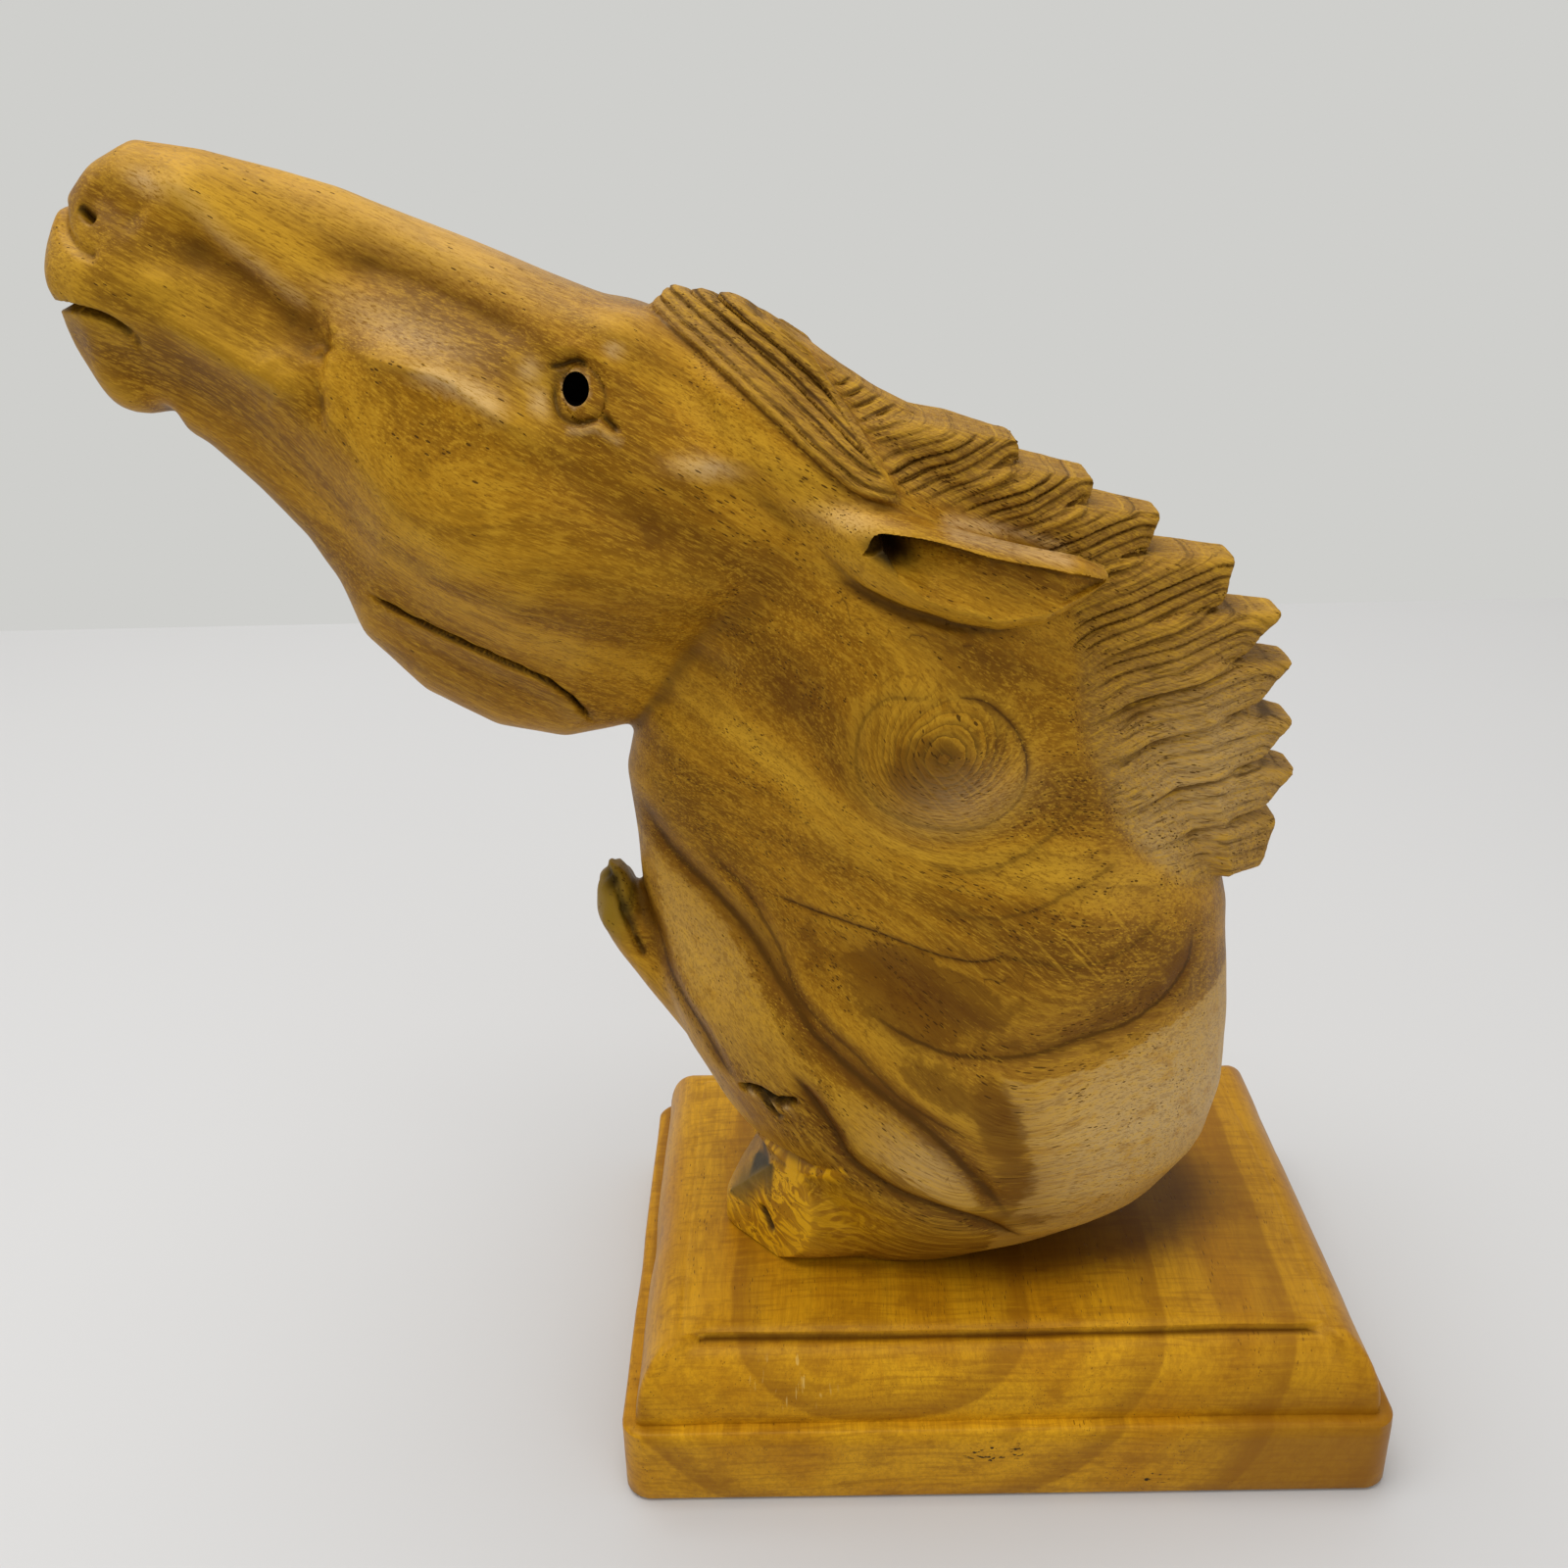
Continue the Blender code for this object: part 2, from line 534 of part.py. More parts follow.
def cut_foot(thing):
    """Saw the foot flat on its line."""
    bm = bmesh.new()
    bm.from_mesh(thing.data)
    bmesh.ops.bisect_plane(bm, geom=bm.verts[:] + bm.edges[:] + bm.faces[:], plane_co=(0.0, 0.0, DRAWN_FOOT),
                           plane_no=(0.0, 0.0, -1.0), clear_outer=True, dist=1e-5)
    rim = [edge for edge in bm.edges if edge.is_boundary]
    bmesh.ops.triangle_fill(bm, edges=rim, use_beauty=True, normal=(0.0, 0.0, -1.0))
    bmesh.ops.triangulate(bm, faces=bm.faces)
    bmesh.ops.recalc_face_normals(bm, faces=bm.faces)
    bm.to_mesh(thing.data)
    bm.free()


def rounded_box_ring(half_x, half_y, corner, z):
    """A rectangle with round corners, as a ring."""
    points = []
    for turn, (sx, sy) in enumerate(((1, 1), (-1, 1), (-1, -1), (1, -1))):
        for k in range(CORNER_STEPS + 1):
            angle = 0.5 * math.pi * (turn + k / CORNER_STEPS)
            points.append((sx * (half_x - corner) + corner * math.cos(angle),
                           sy * (half_y - corner) + corner * math.sin(angle), z))
    return points


def make_plinth(collection):
    """The moulded base: plain face, ledge, quarter round, small step and flat top."""
    half_x = 0.5 * PLINTH_LENGTH
    half_y = 0.5 * PLINTH_DEPTH
    ovolo_top = PLINTH_HEIGHT - TOP_STEP - TOP_ROUNDING
    profile = [(FOOT_ROUNDING, 0.0, FASCIA_CORNER),
               (0.0, FOOT_ROUNDING, FASCIA_CORNER),
               (0.0, FASCIA_HEIGHT - TOP_ROUNDING, FASCIA_CORNER),
               (TOP_ROUNDING, FASCIA_HEIGHT, FASCIA_CORNER)]
    for k in range(OVOLO_STEPS + 1):
        angle = 0.5 * math.pi * k / OVOLO_STEPS
        inset = LEDGE_WIDTH + OVOLO_WIDTH * (1.0 - math.cos(angle))
        rise = (ovolo_top - FASCIA_HEIGHT) * math.sin(angle)
        profile.append((inset, FASCIA_HEIGHT + rise, OVOLO_CORNER))
    top_inset = LEDGE_WIDTH + OVOLO_WIDTH + TOP_ROUNDING
    profile.append((top_inset, ovolo_top + TOP_STEP, OVOLO_CORNER))
    profile.append((top_inset + TOP_ROUNDING, PLINTH_HEIGHT, OVOLO_CORNER))
    bm = bmesh.new()
    loft(bm, [rounded_box_ring(half_x - inset, half_y - inset, corner, z) for inset, z, corner in profile])
    bmesh.ops.recalc_face_normals(bm, faces=bm.faces)
    plinth = new_object("plinth", bm, collection)
    plinth.data.shade_smooth()
    plinth.data.set_sharp_from_angle(angle=SHARP_ANGLE)
    plinth.data.materials.append(wood("plinth_wood", OAK_YELLOW, 0.35))


def make_carving(collection, cutters):
    """The horse head: masses, strokes, locks and ears, details, pupils and the sawn foot."""
    clay = block_out(collection)
    skin = Skin(clay)
    skin.relax(8)
    carve_head(skin)
    carve_trunk(skin)
    skin.relax(2)
    add_locks_and_ears(clay)
    skin = Skin(clay)
    skin.relax(3)
    carve_details(skin)
    apply_modifier(clay, "REMESH", mode="VOXEL", voxel_size=CARVING_VOXEL)
    triangles = 2 * len(clay.data.polygons)
    apply_modifier(clay, "DECIMATE", ratio=CARVING_FACES / triangles, use_collapse_triangulate=True)
    drill_pupils(clay, cutters)
    cut_foot(clay)
    for vert in clay.data.vertices:
        x, y, z = vert.co
        vert.co = (x * STEP, y * STEP, (z - DRAWN_FOOT) * STEP + PLINTH_HEIGHT + SEAT_GAP)
    clay.data.shade_smooth()
    clay.data.set_sharp_from_angle(angle=SHARP_ANGLE)
    clay.data.materials.append(wood("carving_wood", TEAK_BROWN, 0.45))


def main():
    clear_scene()
    collection = bpy.data.collections.new("carved_horse_head")
    bpy.context.scene.collection.children.link(collection)
    cutters = bpy.data.collections.new("cutters")
    bpy.context.scene.collection.children.link(cutters)
    make_plinth(collection)
    make_carving(collection, cutters)


main()
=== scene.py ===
"""The carved wooden horse head on its moulded plinth, finished and set up for its picture.

The carving is drawn in steps, as it is in the part: in side view x runs back from the plinth's
centre, z runs up from the foot line at 28, and y is the half thickness. The photographed side
faces -Y and is called the near side.
"""
import itertools
import math

import bmesh
import bpy
import numpy as np
from mathutils import Matrix, Vector, kdtree


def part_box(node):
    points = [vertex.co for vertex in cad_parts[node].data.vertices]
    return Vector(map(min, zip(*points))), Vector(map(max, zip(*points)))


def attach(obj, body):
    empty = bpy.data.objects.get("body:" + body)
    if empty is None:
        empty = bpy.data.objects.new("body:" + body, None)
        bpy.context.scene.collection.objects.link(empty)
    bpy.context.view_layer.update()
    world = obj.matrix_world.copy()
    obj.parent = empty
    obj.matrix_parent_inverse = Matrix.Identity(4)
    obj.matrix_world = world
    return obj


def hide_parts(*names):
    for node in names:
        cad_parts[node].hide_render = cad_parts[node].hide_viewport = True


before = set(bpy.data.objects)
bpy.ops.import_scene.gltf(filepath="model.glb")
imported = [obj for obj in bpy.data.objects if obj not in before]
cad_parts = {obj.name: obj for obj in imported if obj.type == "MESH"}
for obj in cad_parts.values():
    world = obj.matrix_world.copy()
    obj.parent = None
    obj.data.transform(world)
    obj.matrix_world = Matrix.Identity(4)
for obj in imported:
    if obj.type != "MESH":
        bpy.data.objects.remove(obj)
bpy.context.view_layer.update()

# Places and sizes that come from the frame
PLINTH_LOW, PLINTH_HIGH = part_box("plinth")
CARVING_LOW, CARVING_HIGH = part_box("horse_head")
STEPS_IN_PLINTH = 130.0
STEP = (PLINTH_HIGH[0] - PLINTH_LOW[0]) / STEPS_IN_PLINTH
DRAWN_FOOT = 28.0

# How finely the carving is made, in steps
RING_POINTS = 48
CLAY_VOXEL = 0.9
FINE_VOXEL = 0.52
CARVING_TRIANGLES = 190000
CREASE_ANGLE = math.radians(55.0)


def new_piece(name, bm):
    """A mesh object from a bmesh, in the scene."""
    mesh = bpy.data.meshes.new(name)
    bm.to_mesh(mesh)
    bm.free()
    made = bpy.data.objects.new(name, mesh)
    bpy.context.scene.collection.objects.link(made)
    return made


def apply_modifier(thing, kind, **settings):
    """Put one modifier on an object and keep its result as the mesh."""
    modifier = thing.modifiers.new(kind.title(), kind)
    for key, value in settings.items():
        setattr(modifier, key, value)
    graph = bpy.context.evaluated_depsgraph_get()
    result = bpy.data.meshes.new_from_object(thing.evaluated_get(graph))
    thing.modifiers.remove(modifier)
    old = thing.data
    thing.data = result
    bpy.data.meshes.remove(old)


# Lofts: rings of points, each drawn out of the one before


def ring_edges(ring):
    """The edges that join a ring's points in turn."""
    found = []
    for vert, following in zip(ring, ring[1:] + ring[:1]):
        found.append(next(edge for edge in vert.link_edges if edge.other_vert(vert) is following))
    return found


def loft(bm, rings):
    """A closed skin through rings that have the same number of points."""
    ring = bmesh.ops.create_circle(bm, cap_ends=False, segments=len(rings[0]), radius=1.0)["verts"]
    for vert, place in zip(ring, rings[0]):
        vert.co = Vector(place)
    bmesh.ops.contextual_create(bm, geom=ring_edges(ring))
    for places in rings[1:]:
        drawn = bmesh.ops.extrude_edge_only(bm, edges=ring_edges(ring))
        new_verts = {v for v in drawn["geom"] if isinstance(v, bmesh.types.BMVert)}
        ring = [next(e.other_vert(v) for e in v.link_edges if e.other_vert(v) in new_verts) for v in ring]
        for vert, place in zip(ring, places):
            vert.co = Vector(place)
    bmesh.ops.contextual_create(bm, geom=ring_edges(ring))


def oval(top, bottom, widths, square=2.5, shift=0.0):
    """A ring round the line from bottom to top in side view.

    widths are the half thickness low, in the middle and high on that line. square makes the
    ends of the oval rounder (2) or squarer (4).
    """
    low, middle, high = widths
    points = []
    for k in range(RING_POINTS):
        turn = 2.0 * math.pi * k / RING_POINTS
        rise = 0.5 - 0.5 * math.cos(turn)
        envelope = max(0.0, 1.0 - abs(2.0 * rise - 1.0) ** square) ** (1.0 / square)
        bow = min(1.0, abs(rise - 0.5) / 0.35)
        width = middle + ((high if rise > 0.5 else low) - middle) * bow * bow * (3.0 - 2.0 * bow)
        side = 1.0 if math.sin(turn) >= 0.0 else -1.0
        points.append((bottom[0] + (top[0] - bottom[0]) * rise,
                       shift + side * width * envelope,
                       bottom[1] + (top[1] - bottom[1]) * rise))
    return points


def even(width):
    return (width, width, width)


# The masses of the carving: top point, bottom point and half thicknesses of each section

HEAD = [
    ((-139.6, 202.5), (-139.9, 192.0), (3.5, 5.0, 4.0)),
    ((-137.0, 206.8), (-138.0, 185.5), (7.0, 9.5, 7.5)),
    ((-131.8, 212.3), (-133.8, 178.4), (8.5, 12.3, 9.5)),
    ((-126.0, 215.2), (-128.5, 176.6), (8.5, 13.2, 9.5)),
    ((-117.0, 213.7), (-121.5, 172.0), (8.0, 13.0, 9.0)),
    ((-107.0, 211.0), (-114.5, 164.6), (8.0, 12.8, 9.0)),
    ((-97.0, 207.8), (-108.5, 157.2), (9.0, 14.5, 9.5)),
    ((-87.0, 203.8), (-104.6, 150.3), (10.5, 17.0, 11.5)),
    ((-77.0, 199.5), (-101.5, 141.2), (12.0, 19.5, 14.5)),
    ((-68.0, 195.5), (-93.0, 131.6), (12.5, 21.0, 17.5)),
    ((-60.0, 192.2), (-82.0, 125.2), (13.0, 21.5, 18.5)),
    ((-52.0, 190.0), (-71.0, 123.0), (13.0, 21.0, 18.0)),
    ((-44.0, 187.5), (-60.0, 125.0), (12.0, 20.0, 17.0)),
    ((-35.0, 183.0), (-48.0, 131.0), (11.0, 18.5, 16.0)),
    ((-24.0, 176.0), (-36.0, 138.0), (9.0, 15.0, 12.0)),
    ((-16.0, 168.0), (-26.0, 146.0), (6.0, 9.0, 7.0)),
]

TRUNK = [
    ((-36.5, 26.0), (3.0, 26.0), even(19.0)),
    ((-38.5, 33.0), (22.0, 34.0), even(25.0)),
    ((-39.5, 40.0), (34.0, 41.0), even(29.0)),
    ((-42.8, 48.0), (40.0, 49.0), even(31.0)),
    ((-48.7, 57.0), (42.0, 58.0), even(32.0)),
    ((-54.5, 68.0), (42.0, 69.0), even(31.5)),
    ((-58.5, 80.0), (41.0, 81.0), even(30.0)),
    ((-60.0, 93.0), (40.0, 92.0), (27.0, 28.5, 24.0)),
    ((-60.5, 105.0), (37.5, 102.0), (25.0, 28.0, 22.0)),
    ((-61.5, 117.0), (33.0, 113.0), (23.0, 27.0, 20.0)),
    ((-59.0, 128.0), (28.0, 124.0), (22.0, 25.5, 19.0)),
    ((-55.0, 140.0), (22.0, 135.0), (21.0, 24.0, 18.0)),
    ((-50.0, 152.0), (14.0, 147.0), (19.0, 22.0, 17.0)),
    ((-46.0, 164.0), (4.0, 158.0), (17.0, 19.5, 15.0)),
    ((-44.0, 175.0), (-9.0, 168.0), (14.0, 16.5, 13.0)),
    ((-44.0, 183.0), (-22.0, 177.0), (8.0, 10.0, 9.0)),
]

KNOB = [
    ((-44.0, 50.0), (-30.0, 60.0), even(8.0)),
    ((-53.0, 63.5), (-41.0, 70.0), even(9.0)),
    ((-59.5, 74.5), (-49.0, 79.0), even(9.5)),
    ((-65.3, 83.3), (-55.0, 86.0), even(8.5)),
    ((-68.2, 89.5), (-60.3, 91.0), even(7.0)),
    ((-67.9, 95.0), (-61.8, 94.8), even(5.5)),
    ((-65.9, 99.2), (-63.2, 98.0), even(2.5)),
]

TOE = [
    ((-47.8, 33.5), (-48.0, 28.5), 2.5, -7.0),
    ((-45.0, 38.5), (-45.0, 27.0), 8.0, -8.0),
    ((-40.0, 45.5), (-40.0, 26.0), 13.5, -8.0),
    ((-33.0, 50.0), (-33.0, 26.0), 17.0, -6.5),
    ((-24.0, 53.0), (-24.0, 26.0), 18.0, -5.5),
    ((-12.0, 52.0), (-12.0, 27.0), 17.0, -5.5),
    ((0.0, 48.0), (0.0, 31.0), 12.0, -5.0),
]

FORELOCK = [
    ((-53.0, 191.3), (-52.0, 187.0), (1.5, 1.5, 1.5)),
    ((-50.5, 193.6), (-48.5, 178.0), (9.5, 7.0, 3.5)),
    ((-45.5, 193.0), (-42.0, 165.0), (17.0, 14.5, 7.0)),
    ((-40.0, 191.8), (-35.0, 160.0), (18.5, 16.5, 8.5)),
    ((-34.0, 188.0), (-28.0, 155.0), (19.5, 17.5, 9.0)),
    ((-27.0, 182.7), (-21.0, 150.0), (20.0, 18.0, 9.5)),
    ((-20.0, 177.7), (-14.0, 146.0), (20.0, 18.0, 10.0)),
    ((-12.0, 173.8), (-8.0, 142.0), (19.5, 17.5, 9.5)),
    ((-5.0, 170.0), (0.0, 140.0), (18.0, 15.5, 8.0)),
]

# Locks of the mane, from the top one down: the root's edges, the middle's and the tip's
LOCKS = [
    ((-26.0, 177.0), (-24.0, 160.0), (-9.0, 173.3), (-8.0, 163.5), (0.6, 170.6), (0.2, 166.7)),
    ((-20.0, 168.5), (-14.0, 153.0), (2.0, 167.0), (3.0, 157.5), (12.6, 164.6), (11.2, 160.7)),
    ((-12.0, 161.0), (-4.0, 144.5), (10.0, 161.3), (12.0, 150.5), (23.6, 158.6), (20.4, 152.5)),
    ((-5.0, 152.0), (2.0, 132.5), (18.0, 153.2), (20.0, 140.0), (35.6, 151.4), (33.5, 144.0)),
    ((1.0, 141.0), (6.0, 127.5), (25.0, 144.0), (27.0, 132.5), (44.2, 142.2), (37.2, 135.4)),
    ((5.0, 133.0), (9.0, 121.0), (30.0, 136.0), (31.0, 125.5), (46.6, 134.0), (40.4, 127.4)),
    ((9.0, 126.0), (11.0, 112.5), (32.0, 127.8), (33.0, 116.5), (47.8, 123.8), (41.8, 117.6)),
    ((13.0, 118.0), (15.0, 106.5), (34.0, 118.3), (35.0, 108.5), (49.0, 115.0), (42.8, 108.8)),
    ((18.0, 111.5), (22.0, 100.0), (36.0, 110.0), (38.0, 98.0), (46.6, 106.4), (44.0, 97.4)),
]
LOCK_WIDTHS = (11.0, 11.4, 5.2)
LOCK_SQUARENESS = 5.0
CREST_WIDTHS = (15.0, 11.4, 5.4)
LOCK_ROUNDING = 0.5

EAR = [
    ((-31.0, 164.6), (-30.5, 159.0), 2.0, -15.4),
    ((-27.0, 164.8), (-27.0, 155.8), 4.2, -16.8),
    ((-22.0, 164.2), (-22.5, 152.2), 6.0, -18.2),
    ((-16.0, 162.8), (-17.0, 149.6), 7.0, -19.2),
    ((-9.0, 160.6), (-10.0, 147.4), 7.3, -19.6),
    ((-2.0, 158.6), (-3.0, 146.0), 7.0, -19.0),
    ((4.0, 156.9), (3.5, 146.2), 6.0, -17.8),
    ((9.5, 155.4), (9.5, 149.0), 4.4, -16.2),
    ((13.6, 153.2), (13.6, 151.6), 2.0, -15.0),
]


def lower_edge(lock):
    return [lock[1], lock[3], lock[5]]


def lock_sections(root_top, root_bottom, middle_top, middle_bottom, tip_top, tip_bottom):
    """One lock: a wedge that thins from the neck to a blunt, slanted tip."""
    root, middle, tip = LOCK_WIDTHS
    end_top = tuple(t + (b - t) * 0.08 for t, b in zip(tip_top, tip_bottom))
    end_bottom = tuple(b + (t - b) * 0.25 for t, b in zip(tip_top, tip_bottom))
    end_top = (end_top[0] + LOCK_ROUNDING, end_top[1])
    end_bottom = (end_bottom[0] + LOCK_ROUNDING, end_bottom[1])
    return [oval(root_top, root_bottom, even(root), LOCK_SQUARENESS),
            oval(middle_top, middle_bottom, even(middle), LOCK_SQUARENESS),
            oval(tip_top, tip_bottom, even(tip), LOCK_SQUARENESS),
            oval(end_top, end_bottom, even(tip * 0.8), LOCK_SQUARENESS)]


def crest_sections():
    """The slab that all the locks are cut from, one section for each lock's lower edge."""
    return [oval(tip_bottom, root_bottom, CREST_WIDTHS, 3.0) for _, root_bottom, _, _, _, tip_bottom in LOCKS]


def block_out():
    """The big masses, roughly joined: head, trunk, forelock, crest, root stub and foot."""
    bm = bmesh.new()
    loft(bm, [oval(*section) for section in HEAD])
    loft(bm, [oval(*section, square=2.2) for section in TRUNK])
    loft(bm, [oval(*section, square=3.0) for section in FORELOCK])
    loft(bm, crest_sections())
    loft(bm, [oval(*section, square=2.2) for section in KNOB])
    loft(bm, [oval(top, bottom, even(width), 3.0, shift) for top, bottom, width, shift in TOE])
    bmesh.ops.recalc_face_normals(bm, faces=bm.faces)
    clay = new_piece("carved_horse", bm)
    apply_modifier(clay, "REMESH", mode="VOXEL", voxel_size=CLAY_VOXEL)
    return clay


def add_locks_and_ears(clay):
    """Set the locks of the mane and both ears into the masses."""
    bm = bmesh.new()
    bm.from_mesh(clay.data)
    for lock in LOCKS:
        loft(bm, lock_sections(*lock))
    for side in (1.0, -1.0):
        loft(bm, [oval(top, bottom, even(width), 2.4, side * shift) for top, bottom, width, shift in EAR])
    bmesh.ops.recalc_face_normals(bm, faces=bm.faces)
    bm.to_mesh(clay.data)
    bm.free()
    apply_modifier(clay, "REMESH", mode="VOXEL", voxel_size=FINE_VOXEL)


# How the wood's fibres run in side view: a place, its reach, and the lean of the fibres there
FLOW_PIVOT = (-5.0, 105.0)
FLOWS = [((-75.0, 172.0), 60.0, -30.0), ((0.0, 140.0), 40.0, -26.0), ((-15.0, 80.0), 26.0, -46.0),
         ((26.0, 62.0), 24.0, -14.0), ((-50.0, 90.0), 18.0, -58.0), ((28.0, 118.0), 18.0, -8.0)]
LEAST_FLOW = 0.002

# Where rings bulge round a knot or a burr: place, radii, lean, rise and side
NEAR = -1
FAR = 1
SWIRLS = [((-12.4, 125.6), (11.5, 10.5), 0.0, 26.0, NEAR), ((-84.0, 165.0), (20.0, 12.0), -25.0, 12.0, NEAR),
          ((-38.0, 44.0), (11.0, 9.0), 0.0, 12.0, NEAR), ((2.0, 66.0), (15.0, 9.0), -25.0, 6.0, NEAR),
          ((-64.0, 93.0), (7.0, 8.0), 0.0, 8.0, NEAR),
          ((-78.0, 160.0), (20.0, 13.0), -25.0, 13.0, FAR), ((4.0, 118.0), (13.0, 11.0), 0.0, 24.0, FAR),
          ((-20.0, 62.0), (15.0, 10.0), -30.0, 10.0, FAR), ((-45.0, 180.0), (12.0, 8.0), -25.0, 5.0, FAR)]
GRAIN_SWIRL = 0.4

# Where the skin is made finer for fine carving: place in side view, radii and lean
FINE_PLACES = [((-62.5, 181.0), (7.0, 7.0), 0.0), ((-131.5, 198.0), (7.0, 13.0), 0.0),
               ((-6.0, 154.5), (22.0, 6.5), -15.0), ((-40.0, 66.5), (7.0, 4.0), 0.0),
               ((-34.0, 176.0), (27.0, 11.0), -42.0), ((12.0, 151.0), (34.0, 12.5), -35.0),
               ((36.0, 118.0), (15.0, 24.0), 0.0), ((-82.0, 141.5), (21.0, 3.5), -33.0)]

# Carving: strokes that move the skin

BOTH = 0
OUT_OF_REACH = 1000.0
LATTICE = 32
RELAX_PULLS = (0.5, -0.52)


def smooth_step(low, high, value):
    share = np.clip((value - low) / (high - low), 0.0, 1.0)
    return share * share * (3.0 - 2.0 * share)


def drift(places, size, seed):
    """Smooth random values from -1 to 1 through space, with one swing in about each size."""
    table = np.random.default_rng(seed).uniform(-1.0, 1.0, (LATTICE, LATTICE, LATTICE))
    scaled = places / np.asarray(size)
    base = np.floor(scaled).astype(int)
    part = smooth_step(0.0, 1.0, scaled - base)
    total = np.zeros(len(places))
    for corner in itertools.product((0, 1), repeat=3):
        x, y, z = ((base + corner) % LATTICE).T
        total += np.prod(np.where(corner, part, 1.0 - part), axis=1) * table[x, y, z]
    return total


def smooth_curve(points, per_span=5):
    """Points along a soft curve through the given ones."""
    fixed = np.array([points[0], *points, points[-1]], dtype=float)
    curve = []
    for a, b, c, d in zip(fixed, fixed[1:], fixed[2:], fixed[3:]):
        for t in np.linspace(0.0, 1.0, per_span, endpoint=False):
            curve.append(0.5 * (2 * b + (c - a) * t + (2 * a - 5 * b + 4 * c - d) * t * t
                                + (3 * b - 3 * c + d - a) * t ** 3))
    curve.append(fixed[-1])
    return np.array(curve)


def along_path(places, path, reach):
    """Side view distance from a curve, positive on the left of its travel, and the share along it."""
    curve = smooth_curve(path)
    inside = np.ones(len(places), dtype=bool)
    for axis, bounds in zip((0, 2), curve.T):
        inside &= (places[:, axis] > bounds.min() - reach) & (places[:, axis] < bounds.max() + reach)
    members = np.flatnonzero(inside)
    flat = places[members][:, (0, 2)]
    lengths = np.linalg.norm(np.diff(curve, axis=0), axis=1)
    starts = np.concatenate(([0.0], np.cumsum(lengths)))
    nearest = np.full(len(flat), OUT_OF_REACH)
    left = np.ones(len(flat), dtype=bool)
    travelled = np.zeros(len(flat))
    for a, b, start, length in zip(curve, curve[1:], starts, lengths):
        run = (b - a) / length
        offset = flat - a
        travel = np.clip(offset @ run, 0.0, length)
        away = np.linalg.norm(offset - travel[:, None] * run, axis=1)
        better = away < nearest
        nearest[better] = away[better]
        left[better] = (run[0] * offset[better, 1] - run[1] * offset[better, 0]) >= 0.0
        travelled[better] = start + travel[better]
    distance = np.full(len(places), OUT_OF_REACH)
    share = np.zeros(len(places))
    distance[members] = np.where(left, nearest, -nearest)
    share[members] = travelled / starts[-1]
    return distance, share


def fade(share, ends):
    """1 along a stroke, falling to 0 over the last part at each end."""
    return smooth_step(0.0, ends, share) * smooth_step(0.0, ends, 1.0 - share)


def oval_distance(places, centre, radii, lean=0.0):
    """Side view distance from a point, counted in the radii of a leaning oval."""
    turn = math.radians(lean)
    dx = places[:, 0] - centre[0]
    dz = places[:, 2] - centre[1]
    along = (dx * math.cos(turn) + dz * math.sin(turn)) / radii[0]
    across = (dz * math.cos(turn) - dx * math.sin(turn)) / radii[1]
    return np.hypot(along, across)


def spot(places, centre, radii, lean=0.0):
    """A soft oval in side view, 1 in its middle."""
    return np.exp(-oval_distance(places, centre, radii, lean) ** 2)


def patch(places, centre, radii, lean=0.0):
    """An oval in side view that is nearly even inside and soft only at its edge."""
    return np.exp(-oval_distance(places, centre, radii, lean) ** 4)


def fibre_places(places, swirl=1.0):
    """Each point counted along the fibres, across them in side view, and sideways."""
    dx = places[:, 0] - FLOW_PIVOT[0]
    dz = places[:, 2] - FLOW_PIVOT[1]
    total = np.zeros(len(places))
    along = np.zeros(len(places))
    across = np.zeros(len(places))
    for centre, reach, lean in FLOWS:
        turn = math.radians(lean)
        weight = spot(places, centre, (reach, reach)) + LEAST_FLOW
        along += weight * (dx * math.cos(turn) + dz * math.sin(turn))
        across += weight * (dz * math.cos(turn) - dx * math.sin(turn))
        total += weight
    along /= total
    across /= total
    for centre, radii, lean, rise, side in SWIRLS:
        on_side = smooth_step(-4.0, 8.0, side * places[:, 1])
        across += swirl * rise * spot(places, centre, radii, lean) * on_side
    return np.stack([along, across, places[:, 1]], axis=1)


